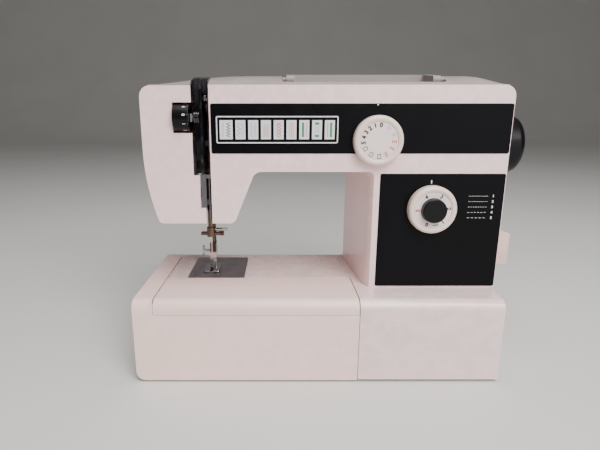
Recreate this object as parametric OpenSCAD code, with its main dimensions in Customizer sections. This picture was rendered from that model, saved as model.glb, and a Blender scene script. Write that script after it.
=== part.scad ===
// Free-arm zigzag sewing machine with a slide-off extension table.
// X runs along the bed towards the handwheel, Y from the operator to the back, Z up.
// The shapes are written from the base's front left corner, and place() centres them.

/* [Base and bed] */
// Length of the base, without the handwheel
base_w = 380; // [378:1:382]
// Depth of the base, front to back
base_d = 165; // [164:1:167]
// Height of the sewing bed
bed_z = 91; // [90.5:0.5:91.5]
// Length of the slide-off extension table
table_w = 232; // [231:1:233]
// Rounding of the bed's front edge
bed_r = 10; // [8:1:12]
// Thickness of the moulded and cast walls
wall = 2.5; // [2:0.5:3]

/* [Free arm] */
// Free arm, its front face from the front of the base
arm_y0 = 69.6; // [69.4:0.1:70]
// Free arm, its back face from the front of the base
arm_y1 = 162; // [161:1:163]
// Height of the free arm's underside
arm_under = 32; // [30:1:33]

/* [Column, arm and head] */
// Front face of the head, arm and column
front_y = 40; // [39:1:41]
// Back face of the head, arm and column
back_y = 154; // [153:1:155]
// Left side of the column at the front
col_x0 = 243; // [242:1:245]
// Right side of the column and arm
col_x1 = 384.5; // [384:0.5:385]
// Underside of the arm
arm_z = 217; // [216:1:218]
// Underside of the head
head_z = 162.5; // [161:0.5:163]
// Left side of the head
head_x0 = 11; // [10:1:12]
// Right end of the head's underside
head_x1 = 102; // [100:1:104]
// Joint line between the covers and the top cover
top_z = 303; // [302:1:304]
// Crown of the top cover
crown_z = 314.5; // [314:0.5:315]

/* [Shafts] */
// Height of the main shaft
shaft_z = 241.5; // [241:0.5:242]
// Main shaft, needle and hook line, from the front
shaft_y = 97; // [96.5:0.5:97.5]
// Handwheel radius
wheel_r = 32; // [31:0.5:32.5]
// Right end of the handwheel
wheel_x = 416; // [415:1:417]
// Height of the hook and the lower shaft
hook_z = 64; // [63:0.5:64.5]

/* [Needle] */
// Needle, from the base's free end
needle_x = 69.5; // [69:0.5:70]
// Needle bar stroke
stroke = 32; // [30:1:32]

/* [Dials] */
// Pattern dial centre, from the free end
pattern_x = 249.1; // [248:0.1:251]
// Pattern dial centre height
pattern_z = 249; // [248:0.5:250]
// Stitch length dial centre, from the free end
length_x = 308.5; // [307:0.1:311]
// Stitch length dial centre height
length_z = 178.6; // [177:0.1:179]
// Radius of a dial's skirt
dial_r = 25; // [24:0.5:26]

/* [Hidden] */
$fn = 64;

// fits and gaps
seam = 0.6;       // shadow gap between neighbouring covers
running = 0.05;   // radial clearance of a shaft in its bearing
loose = 0.3;      // clearance between pieces that pass each other
cut = 1;          // how far a cutter reaches past the face it opens

// drive
gear_gap = 27;    // from the hook's axis to the lower shaft, and from the worm to the cams

// base
end_x = 20;                        // width of the table's end box
lid_z = 76;                        // seam under the lid's front lip
lid_back = 69;                     // back edge of the lid
plinth_x = 3.4;                    // the plinth is set back under the table's end
plinth_z = 14;                     // top of the plinth
foot_h = 3;                        // rubber feet below the plinth
arm_x0 = 22;                       // free end of the free arm
guide_x = 127.4;                   // tapped hole for a seam guide
guide_y = 81;
guide_r = 1.65;                    // tap drill of an M4 thread
guide_len = 10;
plate_x0 = 44;                     // needle plate
plate_x1 = 110;
plate_y1 = 147;
plate_t = 1.5;
plate_screw_at = [[50, 76], [104, 141]];

// arm and column
mid_y = shaft_y;                   // front and rear covers meet here
slot_x0 = 62.6;                    // thread slot in the head
slot_x1 = 79.6;
liner_z = 214;                     // foot of the black channel in the slot
face_y1 = 120;                     // back edge of the face cover
back_taper = 9;                    // the column is this much wider at the back
lug_at = [[92, 100], [230, 240], [340, 350]];  // bearings along the main shaft
web_y0 = 132;                      // web of the arm frame
web_y1 = 138;
panel_t = 1.2;
panel_x0 = 81;                     // left end of the upper panel
lower_y = shaft_y + gear_gap;      // lower shaft

// shafts
shaft_r = 6;
bush_r = 9;
lower_r = 5;
hook_shaft_r = 4;
crank_x = 84;
crank_r = stroke / 2;
belt_x = 250;                      // left face of the timing belt
belt_w = 8;
pulley_r = 14;
wheel_groove_x = 359;              // left face of the motor belt
wheel_groove_r = 28;
wheel_w = 30.5;                    // depth of the outer wheel
rim_r = 8;                         // rounding of its rim
motor_y = 105;
motor_z = 42;
motor_pulley_r = 7;
belt_t = 2.5;

// needle bar and presser bar
bar_r = 3.5;
gate_z = 285;                      // pivot of the needle gate
press_y = shaft_y + 16;            // presser bar
takeup_y = 125;                    // pivot of the take-up lever
takeup_z = 240;
takeup_x = 74.6;
takeup_t = 2;
rod_x0 = 78.2;                     // connecting rod, beside the lever
rod_x1 = 80.4;
lift_y = 124;                      // pivot of the presser lifter
lift_z = 182;
tension_y = front_y + 6;
tension_z = 271.2;
tension_r = 14.2;

// top
handle_x0 = 157;                   // carry handle, folded back
handle_x1 = 313;
handle_y0 = 55;                    // its pivots
handle_y1 = 99;
handle_z = 309;
winder_x = 346;
winder_y = 124;
pin_at = [265, 325];               // spool pins
pin_y = 125;

// terminal housing on the column's side
term_x1 = 414.4;
term_y0 = 75;
term_y1 = 128;
term_z0 = 105;
term_z1 = 142;
term_lean = 10;                    // its top slopes down by this much
inlet_y = [80, 102];
inlet_z = [110, 132];
inlet_x = 400;
switch_y = 114;
switch_z = 122;

// ---- helpers ----

module place() translate([-wheel_x / 2, -base_d / 2, 0]) children();

// extrusions along an axis, from one plane to another
module along_x(x0, x1) translate([x0, 0, 0]) rotate([90, 0, 90]) linear_extrude(x1 - x0) children();
module along_y(y0, y1) translate([0, y1, 0]) rotate([90, 0, 0]) linear_extrude(y1 - y0) children();
module along_z(z0, z1) translate([0, 0, z0]) linear_extrude(z1 - z0) children();

module block(lo, hi) translate(lo) cube(hi - lo);

// round bars along an axis
module rod_x(x0, x1, y, z, r) translate([x0, y, z]) rotate([0, 90, 0]) cylinder(h = x1 - x0, r = r);
module rod_y(y0, y1, x, z, r) translate([x, y0, z]) rotate([-90, 0, 0]) cylinder(h = y1 - y0, r = r);
module rod_z(z0, z1, x, y, r) translate([x, y, z0]) cylinder(h = z1 - z0, r = r);

// ring along X between two radii
module ring_x(x0, x1, y, z, r_out, r_in) difference() {
  rod_x(x0, x1, y, z, r_out);
  rod_x(x0 - cut, x1 + cut, y, z, r_in);
}

// points of a quarter round, or the bare corner where r is 0
function corner(c, r, a) = r == 0 ? [c] : [for (i = [0:6]) c + r * [cos(a + 15 * i), sin(a + 15 * i)]];

// rectangle with its own radius at each corner, from the top right one round to the bottom right
module panel4(lo, hi, r) polygon(concat(
  corner([hi.x - r[0], hi.y - r[0]], r[0], 0),
  corner([lo.x + r[1], hi.y - r[1]], r[1], 90),
  corner([lo.x + r[2], lo.y + r[2]], r[2], 180),
  corner([hi.x - r[3], lo.y + r[3]], r[3], 270)));
module panel(lo, hi, r) panel4(lo, hi, [r, r, r, r]);

// spur gear outline with straight-sided teeth
module gear2d(teeth, root_r, tip_r, first) {
  half_root = 0.85;
  half_tip = 0.4;
  circle(r = root_r);
  for (i = [0:teeth - 1])
    rotate(first + 360 * i / teeth)
      polygon([[root_r - 0.4, -half_root], [tip_r, -half_tip], [tip_r, half_tip], [root_r - 0.4, half_root]]);
}

// belt round two pulleys that stand in the plane of Y and Z
module belt(x0, w, p0, r0, p1, r1, t) {
  d = norm(p1 - p0);
  along_x(x0, x0 + w) translate(p0) rotate(atan2(p1.y - p0.y, p1.x - p0.x)) difference() {
    belt_outline(d, r0 + t, r1 + t);
    belt_outline(d, r0, r1);
  }
}
// outline of a belt from a circle at the origin to one at distance d, as two arcs
function belt_outline_points(d, r0, r1) = let (a = acos((r0 - r1) / d))
  concat([for (i = [0:24]) let (b = a + (360 - 2 * a) * i / 24) r0 * [cos(b), sin(b)]],
         [for (i = [0:24]) let (b = -a + 2 * a * i / 24) [d, 0] + r1 * [cos(b), sin(b)]]);
module belt_outline(d, r0, r1) polygon(belt_outline_points(d, r0, r1));

// ---- base, bed and free arm ----

// cross section of the base, inset by t
module base_section(t) panel4([t, t == 0 ? foot_h : -cut], [base_d - t, bed_z - t], [6 - t, bed_r - t, 0, 0]);

// lug that hangs from the inside of the bed and carries a shaft
module bed_lug(x0, x1, y, half) block([x0, y - half, hook_z - half], [x1, y + half, bed_z - wall + 0.1]);

module bed_casting() color("ivory") place() difference() {
  union() {
    difference() {
      along_x(table_w + seam, base_w) base_section(0);
      along_x(table_w + seam + wall, base_w - wall) base_section(wall);
    }
    bed_lug(238, 244, lower_y, 12);
  }
  // the free arm opens into the base
  block([table_w, arm_y0 + wall, arm_under + wall], [table_w + 6, arm_y1 - wall, bed_z - wall]);
  block([col_x0 + 4, front_y + 8, bed_z - 4], [col_x1 - 14, back_y - 8, bed_z + cut]);
  // the bottom plate runs through under the left wall
  block([table_w, wall + 3.9, -cut], [table_w + seam + wall + cut, base_d - 3.9, foot_h + wall + 0.1]);
  rod_x(236, 246, lower_y, hook_z, bush_r);
}

// the free arm is a tube that is bolted to the base
module free_arm() color("ivory") place() difference() {
  union() {
    difference() {
      along_x(arm_x0, table_w + seam) panel4([arm_y0, arm_under], [arm_y1, bed_z], [4, 0, 4, 4]);
      block([arm_x0 + wall, arm_y0 + wall, arm_under + wall], [table_w + 6, arm_y1 - wall, bed_z - wall]);
    }
    bed_lug(82, 88, shaft_y, 8);
    bed_lug(106, 112, lower_y, 12);
    rod_z(bed_z - guide_len, bed_z - wall + 0.1, guide_x, guide_y, 4.5);
  }
  block([plate_x0, arm_y0 - cut, bed_z - plate_t], [plate_x1, plate_y1, bed_z + cut]);
  block([plate_x0 + 4, arm_y0 + wall, bed_z - 4], [81.5, plate_y1 - 4, bed_z]);
  block([arm_x0 - cut, shaft_y - 20, hook_z - 20], [arm_x0 + wall + cut, shaft_y + 20, hook_z + 20]);
  rod_x(80, 90, shaft_y, hook_z, hook_shaft_r + running);
  rod_x(104, 114, lower_y, hook_z, bush_r);
  rod_z(bed_z - 12, bed_z + cut, guide_x, guide_y, guide_r);
}

// the plinth is hollow from below; under the column it is a flat plate
module bottom_plate() color("lightgray") place() {
  difference() {
    along_z(foot_h, plinth_z) panel([plinth_x, 4], [table_w - 1, base_d - 4], 6);
    along_z(foot_h - cut, plinth_z - wall) panel([plinth_x + wall, 4 + wall], [table_w - 1 - wall, base_d - 4 - wall], 4);
  }
  block([table_w - 3.5, 4 + wall, foot_h], [base_w - 3.4, base_d - 4, foot_h + wall]);
  for (x = [30, 200], y = [22, base_d - 22]) rod_z(foot_h, plinth_z - wall + 0.1, x, y, 9);
}

module rubber_feet() color("dimgray") place()
  for (x = [30, 200, 360], y = [22, base_d - 22]) rod_z(0, foot_h, x, y, 8);

module needle_plate() color("slategray") place() difference() {
  along_z(bed_z - plate_t, bed_z) panel4([plate_x0, arm_y0], [plate_x1, plate_y1], [3, 3, 0, 0]);
  block([needle_x - 4, shaft_y - 1.4, bed_z - 3], [needle_x + 4, shaft_y + 1.4, bed_z + cut]);
  for (x = feed_rows)
    block([x - 0.6, shaft_y - 12, bed_z - 3], [x + 3.1, shaft_y + 14, bed_z + cut]);
  for (p = plate_screw_at) rod_z(bed_z - 3, bed_z + cut, p.x, p.y, 3.5 + running);
}
feed_rows = [needle_x - 8.5, needle_x + 6];

// plate screws and the screws of the rear cover, all with a driver slot
module screw_head(r, h) difference() {
  cylinder(h = h, r = r);
  translate([-r - cut, -0.5, h - 0.6]) cube([2 * r + 2 * cut, 1, cut]);
}
module screws() color("silver") place() {
  for (p = plate_screw_at) translate([p.x, p.y, bed_z - plate_t]) screw_head(3.5, plate_t);
  for (p = [[100, 290], [360, 290], [360, 110], [270, 110]])
    translate([p.x, back_y, p.y]) rotate([-90, 0, 0]) screw_head(4, 1.6);
}

// ---- slide-off table with its lid ----

module table_body() color("linen") place() difference() {
  union() {
    // front wall, which reaches down past the plinth
    along_y(0, wall) panel4([0, 2], [table_w, lid_z - loose], [0, 0, bed_r, 0]);
    // accessory box behind it
    difference() {
      block([end_x - wall, 0.5, plinth_z + 2], [table_w, lid_back, bed_z - wall - loose]);
      block([end_x, wall, plinth_z + 2 + wall], [table_w - wall, lid_back - wall, bed_z]);
    }
    // end box round the tip of the free arm
    difference() {
      along_x(0, end_x) panel4([0, plinth_z + 2], [base_d, bed_z], [6, bed_r, 4, 0]);
      along_x(wall, end_x - wall) panel4([wall, plinth_z - cut], [base_d - wall, bed_z - wall], [4, bed_r - wall, 0, 0]);
    }
  }
  // the lid lies on the box's back wall
  block([end_x + 1, -cut, lid_z - loose], [table_w + cut, lid_back - wall, bed_z + cut]);
  block([end_x + 1, -cut, bed_z - wall - loose], [table_w + cut, lid_back + cut, bed_z + cut]);
}

module table_lid() color("linen") place() along_x(end_x + 1 + loose, table_w - loose) polygon(concat(
  [[0, lid_z], [0, bed_z - bed_r]],
  [for (i = [0:8]) [bed_r - bed_r * cos(11.25 * i), bed_z - bed_r + bed_r * sin(11.25 * i)]],
  [[lid_back, bed_z], [lid_back, bed_z - wall]],
  [for (i = [8:-1:0]) [bed_r - (bed_r - wall) * cos(11.25 * i), bed_z - bed_r + (bed_r - wall) * sin(11.25 * i)]],
  [[wall, lid_z]]));

// shutter that slides down in front of the hook
module shuttle_door() color("linen") place() {
  along_x(arm_x0 - 1.6, arm_x0 - 0.2) panel([shaft_y - 23, hook_z - 22], [shaft_y + 23, hook_z + 22], 3);
  block([arm_x0 - 1.9, shaft_y - 8, hook_z + 15], [arm_x0 - 1.5, shaft_y + 8, hook_z + 17]);
}

// ---- covers ----

// left outline of the head: a long arc that draws in towards the needle
head_arc_r = 237;
head_arc_z = 241;
function head_left(t) = [for (i = [0:8]) let (a = 180 + 19.35 * i / 8)
  [head_x0 + head_arc_r, head_arc_z] + (head_arc_r - t) * [cos(a), sin(a)]];

// front outline of the head's left part, inset by t
module face_outline(t, x1) polygon(concat(
  [[x1, top_z - seam], [head_x0 + 11, top_z - seam]],
  [for (i = [1:6]) [head_x0 + 11, top_z - seam - 11] + (11 - t) * [cos(90 + 15 * i), sin(90 + 15 * i)]],
  head_left(t),
  [[x1, head_z + t]]));

// front outline of the rest of the head and the arm, inset by t
module arm_outline(t, x0) polygon(concat(
  [[x0, head_z + t], [head_x1 - 0.4 * t, head_z + t], [head_x1 + 3 - t, head_z + 5]],
  [[123 - t, arm_z - 5], [126 - t, arm_z + t]],
  [[col_x1 - t, arm_z + t]],
  [for (i = [0:6]) [col_x1 - 11, top_z - 11] + (11 - t) * [cos(15 * i), sin(15 * i)]],
  [[x0, top_z - t]]));

// plan of the column, inset by t: its left side slopes outwards to the back
module column_plan(t) polygon([
  [col_x0 + 5 + t, front_y + t], [col_x1 - t, front_y + t], [col_x1 - t, back_y - t],
  [col_x0 - back_taper + 6 + t, back_y - t], [col_x0 - back_taper + t, back_y - 10],
  [col_x0 + t, front_y + 8]]);

// shell of arm and column, before it is parted into front and rear
module arm_shell(x0) difference() {
  union() {
    along_y(front_y, back_y) arm_outline(0, x0);
    along_z(bed_z + 0.2, arm_z + 1) column_plan(0);
  }
  along_y(front_y + wall, back_y - wall) arm_outline(wall, x0 - 3 * cut);
  along_z(bed_z - cut, arm_z + 10) column_plan(wall);
  // the top is closed by the top cover
  block([x0 - cut, front_y + wall, top_z - 10], [col_x1 - 12, back_y - wall, top_z + cut]);
  rod_x(col_x1 - 10, col_x1 + cut, shaft_y, shaft_z, 15);
}

module front_cover() color("ivory") place() difference() {
  arm_shell(slot_x1);
  block([0, mid_y, 0], [wheel_x, back_y + cut, crown_z]);
  // seats of the two black panels
  along_y(front_y - cut, front_y + panel_t) panel([panel_x0 - 0.1, 235.5], [384, 285.2], 2);
  along_y(front_y - cut, front_y + panel_t) panel([254.2, 92.3], [384, 215.2], 2);
  rod_y(front_y - cut, front_y + 5, pattern_x, pattern_z, 6);
  rod_y(front_y - cut, front_y + 5, length_x, length_z, 16);
}

module rear_cover() color("ivory") place() difference() {
  union() {
    arm_shell(slot_x1);
    difference() {
      along_y(face_y1 + seam, back_y) face_outline(0, slot_x1 + 0.1);
      along_y(face_y1, back_y - wall) face_outline(wall, slot_x1 + 1);
      block([head_x0 + 12, face_y1, top_z - 10], [slot_x1 + cut, back_y - wall, top_z + cut]);
    }
  }
  block([slot_x1 - cut, 0, 0], [wheel_x, mid_y + seam, crown_z]);
  // slot for the presser lifter
  block([47, back_y - 10, head_z - cut], [59, back_y + cut, 212]);
  block([47, face_y1, head_z - cut], [59, back_y, head_z + wall + cut]);
}

module face_cover() color("ivory") place() difference() {
  union() {
    along_y(front_y, face_y1) face_outline(0, slot_x0 - seam);
    face_lobes();
  }
  along_y(front_y + wall, face_y1 + cut) face_outline(wall, slot_x0 + cut);
  block([head_x0 + 12, front_y + wall, top_z - 10], [slot_x0 + cut, face_y1 + cut, top_z + cut]);
  // notch for the tension dial and a way out for the lifter's pivot
  block([43, front_y - cut, tension_z - tension_r - 0.8], [slot_x0 + cut, front_y + 20, tension_z + tension_r + 0.8]);
}
// below the black channel the cover reaches into the slot, in two steps
module face_lobes() {
  block([slot_x0 - seam - 0.1, front_y, head_z], [68, front_y + wall, liner_z - seam]);
  block([slot_x0 - seam - 0.1, front_y, head_z], [73.4, front_y + wall, 179]);
}

// section of the crown in the plane of Y and Z, lowered by t
module crown_section(t) polygon([
  [front_y + t, top_z], [front_y + t, top_z + 1], [front_y + 3 + t, top_z + 3.5 - t], [front_y + 20, 311 - t],
  [front_y + 38, crown_z - 0.6 - t], [mid_y, crown_z - t], [back_y - 38, crown_z - 0.6 - t],
  [back_y - 20, 311 - t], [back_y - 3 - t, top_z + 3.5 - t], [back_y - t, top_z + 1], [back_y - t, top_z]]);
// outline of the crown from the front, lowered by t
module crown_outline(t) polygon([
  [head_x0 + 9 + t, top_z], [head_x0 + 13 + t, top_z + 2], [46, 309.5 - t], [64, 312 - t], [110, crown_z - t],
  [345, crown_z - t], [366, 311 - t], [col_x1 - 8 - t, top_z + 3], [col_x1 - 6 - t, top_z]]);
module crown(t) intersection() {
  along_x(0, wheel_x) crown_section(t);
  along_y(0, base_d) crown_outline(t);
}
// plan of a round-ended pocket in the top
module pocket_plan(x0, x1, y0, y1, r, t) panel([x0 - t, y0 - t], [x1 + t, y1 + t], r + t);

module top_cover() color("ivory") place() difference() {
  union() {
    difference() {
      crown(0);
      translate([0, 0, -cut / 10]) crown(wall);
    }
    intersection() {
      crown(0);
      union() {
        along_z(top_z, crown_z) pocket_plan(handle_x0 - 4, handle_x1 + 4, handle_y0 - 7, handle_y1 + 5, 4, 2);
        along_z(top_z, crown_z) pocket_plan(336, 371, 112, 138, 4, 2);
        for (x = pin_at) rod_z(top_z, crown_z, x, pin_y, 6);
      }
    }
  }
  along_z(top_z + 2, crown_z + cut) pocket_plan(handle_x0 - 4, handle_x1 + 4, handle_y0 - 7, handle_y1 + 5, 4, 0);
  along_z(top_z + 1.2, crown_z + cut) pocket_plan(336, 371, 112, 138, 4, 0);
  rod_z(top_z - cut, crown_z, winder_x, winder_y, 4 + running);
  for (x = pin_at) rod_z(top_z - cut, crown_z + cut, x, pin_y, 3 + running);
  // the thread slot runs up over the front edge
  block([slot_x0 - seam, front_y - cut, top_z - cut], [slot_x1, front_y + 22, crown_z + cut]);
}

module upper_panel() color("black") place() difference() {
  along_y(front_y - 0.6, front_y + panel_t) panel([panel_x0, 235.7], [383.8, 285], 2);
  rod_y(front_y - cut, front_y + 5, pattern_x, pattern_z, 6);
}

module lower_panel() color("black") place() difference() {
  along_y(front_y - 0.6, front_y + panel_t) panel([254.4, 92.5], [383.8, 215], 2);
  rod_y(front_y - cut, front_y + 5, length_x, length_z, 16);
}

// nine picture cells in one thin frame
cell_w = 12.2;
cell_pitch = 13.45;
module pattern_window() color("white") place() difference() {
  along_y(front_y - 1.4, front_y - 0.6) panel([86.5, 246], [209.3, 273], 1.5);
  for (i = [0:8])
    along_y(front_y - 2, front_y - 1.1) panel([88 + cell_pitch * i, 248], [88 + cell_pitch * i + cell_w, 271], 0.8);
}

// black double channel that takes the thread over the top and down the head
module slot_liner() color("black") place() difference() {
  union() {
    block([slot_x0, front_y, liner_z], [slot_x1 - 0.2, front_y + 16, top_z + 0.1]);
    intersection() {
      along_x(slot_x0, slot_x1 - 0.2) crown_section(-0.4);
      block([slot_x0, front_y - cut, top_z], [slot_x1 - 0.2, front_y + 21.8, crown_z]);
    }
  }
  // channel of the tension discs and channel of the take-up lever
  for (x = [[64, 70], [72.4, 78.2]]) block([x[0], front_y - cut, liner_z - cut], [x[1], front_y + 13.5, crown_z + cut]);
  block([72.4, front_y + 13, liner_z + 4], [78.2, front_y + 17, 296]);
  block([slot_x0 - cut, front_y - cut, 252], [64 + cut, front_y + 13.5, tension_z + tension_r + 0.8]);
}

module thread_guides() color("silver") place() {
  // hook under the black channel, its long wire and the guard strip beside it
  rod_z(head_z + 5, liner_z - 3, 77, front_y + 5, 1.2);
  block([74.6, front_y + 1, liner_z - 4], [slot_x1 - 0.2, front_y + 8, liner_z]);
  block([68.4, front_y + 3.2, 176], [74, front_y + 4.2, liner_z]);
  // eyelet on the top cover
  difference() {
    rod_y(front_y + 38, front_y + 40, 110, crown_z - 1, 2.4);
    rod_y(front_y + 37, front_y + 41, 110, crown_z - 0.9, 1.2);
    block([100, front_y, 300], [120, back_y, crown_z - 0.5]);
  }
}

// ---- frame inside the arm ----

module arm_frame() color("darkgray") place() difference() {
  union() {
    block([58, web_y0, 222], [372, web_y1, 296]);
    block([58, web_y0, head_z + 4], [73.4, web_y1, 296]);
    block([268, web_y0, foot_h + wall], [350, web_y1, 222.1]);
    for (l = lug_at) block([l[0], shaft_y - 14, shaft_z - 14], [l[1], web_y0 + 0.1, shaft_z + 14]);
    // guides of the presser bar
    for (z = [head_z + 4, 240]) block([64.2, press_y - 5, z], [73.4, web_y0 + 0.1, z + 7]);
    // shelf under the cams
    block([134, 52, 221], [166, web_y0 + 0.1, 226]);
    // lamp bracket and lifter bracket
    block([30, web_y0, 210], [58.1, web_y1, 219]);
    block([30, 86, 216], [46, web_y0 + 0.1, 219]);
    block([58, 119, lift_z - 5], [63, web_y0 + 0.1, lift_z + 5]);
    rod_x(48, 58.1, lift_y, lift_z, 3);
    rod_x(takeup_x, lug_at[0][0] + 0.1, takeup_y, takeup_z, 3);
    rod_y(103, web_y0 + 0.1, needle_x - 2, gate_z, 3.5);
    rod_z(225.9, 297, 150, shaft_y - gear_gap, 3);
    // bracket of the tension unit, which steps round the dial
    block([56, tension_y + 15.5, tension_z - 4], [59.2, web_y0 + 0.1, tension_z + 4]);
    block([56, tension_y + 15.5, tension_z - 4], [62.3, tension_y + 18, tension_z + 4]);
    block([60.6, tension_y - 5, tension_z - 4], [62.3, tension_y + 18, tension_z + 4]);
  }
  for (l = lug_at) rod_x(l[0] - cut, l[1] + cut, shaft_y, shaft_z, bush_r);
  rod_z(head_z, 260, needle_x, press_y, bar_r + running);
  rod_x(50, 65, tension_y, tension_z, 3);
  // windows that lighten the web
  for (x = [110, 175, 290]) block([x, web_y0 - cut, 232], [x + 40, web_y1 + cut, 286]);
}

module shaft_bushes() color("peru") place() {
  for (l = lug_at) ring_x(l[0], l[1], shaft_y, shaft_z, bush_r, shaft_r + running);
  for (x = [106, 238]) ring_x(x, x + 6, lower_y, hook_z, bush_r, lower_r + running);
}

// ---- main drive ----

module handwheel() color("black") place() difference() {
  union() {
    // outer wheel with a deep rounded rim
    translate([wheel_x, shaft_y, shaft_z]) rotate([0, -90, 0]) rotate_extrude() polygon(concat(
      [[0, 0], [wheel_r - rim_r, 0]],
      [for (i = [1:8]) [wheel_r - rim_r + rim_r * sin(11.25 * i), rim_r - rim_r * cos(11.25 * i)]],
      [[wheel_r, wheel_w - 3], [wheel_r - 2, wheel_w], [0, wheel_w]]));
    rod_x(wheel_groove_x - 4, wheel_x - wheel_w + 1, shaft_y, shaft_z, 12);
    // grooved wheel for the motor belt, inside the cover
    ring_x(wheel_groove_x - 4, wheel_groove_x - 0.5, shaft_y, shaft_z, wheel_groove_r + 2, 5);
    ring_x(wheel_groove_x - 1, wheel_groove_x + 7, shaft_y, shaft_z, wheel_groove_r - loose, 5);
    ring_x(wheel_groove_x + 6.5, wheel_groove_x + 10, shaft_y, shaft_z, wheel_groove_r + 2, 5);
  }
  rod_x(wheel_groove_x - 10, wheel_x - 10, shaft_y, shaft_z, shaft_r + running);
  rod_x(wheel_x - 9, wheel_x + cut, shaft_y, shaft_z, 13);
}

module main_shaft() color("silver") place() {
  rod_x(crank_x + 6.5, wheel_x - 10.5, shaft_y, shaft_z, shaft_r);
  // worm that turns the cams
  rod_x(138, 162, shaft_y, shaft_z, 8.4);
}

module crank_disc() color("gray") place() difference() {
  union() {
    rod_x(crank_x, crank_x + 6.5, shaft_y, shaft_z, crank_r + 4);
    rod_x(crank_x - 3, crank_x + 0.1, shaft_y, shaft_z + crank_r, 3);
  }
  block([crank_x - cut, shaft_y - 30, shaft_z - 30], [crank_x + 10, shaft_y + 30, shaft_z - 12]);
}

// pulley between two flanges, on a shaft of radius bore
module pulley(x0, y, z, bore) {
  ring_x(x0 - 2, x0 - loose, y, z, pulley_r + 3, bore);
  ring_x(x0 - loose - 0.1, x0 + belt_w + loose + 0.1, y, z, pulley_r - loose, bore);
  ring_x(x0 + belt_w + loose, x0 + belt_w + 2, y, z, pulley_r + 3, bore);
}
module upper_pulley() color("gainsboro") place() pulley(belt_x, shaft_y, shaft_z, shaft_r);
module lower_pulley() color("gainsboro") place() pulley(belt_x, lower_y, hook_z, lower_r);
// the timing belt and the motor belt
module belts() color("dimgray") place() {
  belt(belt_x, belt_w, [lower_y, hook_z], pulley_r, [shaft_y, shaft_z], pulley_r, belt_t);
  belt(wheel_groove_x, 6, [motor_y, motor_z], motor_pulley_r, [shaft_y, shaft_z], wheel_groove_r, belt_t);
}

module clutch_knob() color("dimgray") place() difference() {
  union() {
    rod_x(wheel_x - 8.4, wheel_x - 1, shaft_y, shaft_z, 12.6);
    rod_x(wheel_x - 1.1, wheel_x - 0.3, shaft_y, shaft_z, 11);
  }
  for (i = [0:11]) translate([0, shaft_y, shaft_z]) rotate([30 * i, 0, 0]) rod_x(wheel_x - 7, wheel_x + cut, 13, 0, 0.9);
}

module lower_shaft() color("silver") place() rod_x(90, belt_x + belt_w + 5, lower_y, hook_z, lower_r);

module lower_gear() color("gray") place() difference() {
  along_x(93, 99) translate([lower_y, hook_z]) gear2d(36, 16.8, 18.85, 0);
  rod_x(92, 100, lower_y, hook_z, lower_r);
}

// rotary hook with its pinion: a cup that opens towards the free end
module hook() color("silver") place() {
  difference() {
    rod_x(73, 79, shaft_y, hook_z, 17.5);
    rod_x(72, 76.5, shaft_y, hook_z, 15.5);
    // the gap behind the hook's point
    block([72, shaft_y, hook_z + 8], [76.5, shaft_y + 12, hook_z + 20]);
  }
  rod_x(78.9, 101, shaft_y, hook_z, hook_shaft_r);
  along_x(93, 99) translate([shaft_y, hook_z]) gear2d(18, 7.8, 9.85, 10);
}

module bobbin_case() color("silver") place() {
  difference() {
    rod_x(55, 72.6, shaft_y, hook_z, 14.5);
    rod_x(54, 68.5, shaft_y, hook_z, 12);
    // the needle comes down through this notch
    block([66, shaft_y - 4, hook_z + 8], [73, shaft_y + 4, hook_z + 16]);
  }
  rod_x(56, 68.6, shaft_y, hook_z, 3);
}

module bobbin() color("gainsboro") place() difference() {
  union() {
    rod_x(56.5, 57.7, shaft_y, hook_z, 10.5);
    rod_x(57.6, 64.4, shaft_y, hook_z, 5);
    rod_x(64.3, 65.5, shaft_y, hook_z, 10.5);
  }
  rod_x(55, 67, shaft_y, hook_z, 3 + running);
}

module motor() color("darkslategray") place() difference() {
  union() {
    rod_x(274, 340, motor_y, motor_z, 25);
    rod_x(268, 274.1, motor_y, motor_z, 14);
    rod_x(339.9, 345, motor_y, motor_z, 14);
    for (x = [282, 322]) block([x, motor_y - 22, foot_h + wall], [x + 12, motor_y + 22, motor_z - 15]);
  }
  rod_x(330, 346, motor_y, motor_z, 4 + running);
}

module motor_pulley() color("silver") place() {
  rod_x(331, wheel_groove_x + 8, motor_y, motor_z, 4);
  ring_x(wheel_groove_x - 2, wheel_groove_x - loose, motor_y, motor_z, motor_pulley_r + 3, 4);
  ring_x(wheel_groove_x - 1, wheel_groove_x + 7, motor_y, motor_z, motor_pulley_r - loose, 4);
  ring_x(wheel_groove_x + 6 + loose, wheel_groove_x + 8, motor_y, motor_z, motor_pulley_r + 3, 4);
}

// worm wheel with the stitch cams above it
cam_y = shaft_y - gear_gap;
module cam_stack() color("whitesmoke") place() difference() {
  union() {
    rod_z(238, 245, 150, cam_y, 17.6);
    for (i = [0:5])
      rod_z(245 + 7 * i, 249.1 + 7 * i, 150 + 1.5 * cos(60 * i), cam_y + 1.5 * sin(60 * i), 14);
    rod_z(226.4, 292, 150, cam_y, 7);
  }
  rod_z(220, 300, 150, cam_y, 3 + running);
}

// ---- needle bar, take-up and presser ----

module needle_gate() color("gray") place() difference() {
  union() {
    block([60, 103.6, 168], [needle_x + 1, 107.4, gate_z + 7]);
    for (z = [173, 240]) block([60, shaft_y - 6, z], [needle_x + 3.9, 103.7, z + 6]);
  }
  rod_y(100, 110, needle_x - 2, gate_z, 3.5 + running);
  rod_z(165, 260, needle_x, shaft_y, bar_r + running);
}

module needle_bar() color("silver") place() {
  rod_z(138, 282, needle_x, shaft_y, bar_r);
  // collar with the stud of the connecting rod
  rod_z(212, 222, needle_x, shaft_y, 5.5);
  rod_x(needle_x, rod_x1, shaft_y, 217, 2.6);
}

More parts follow.
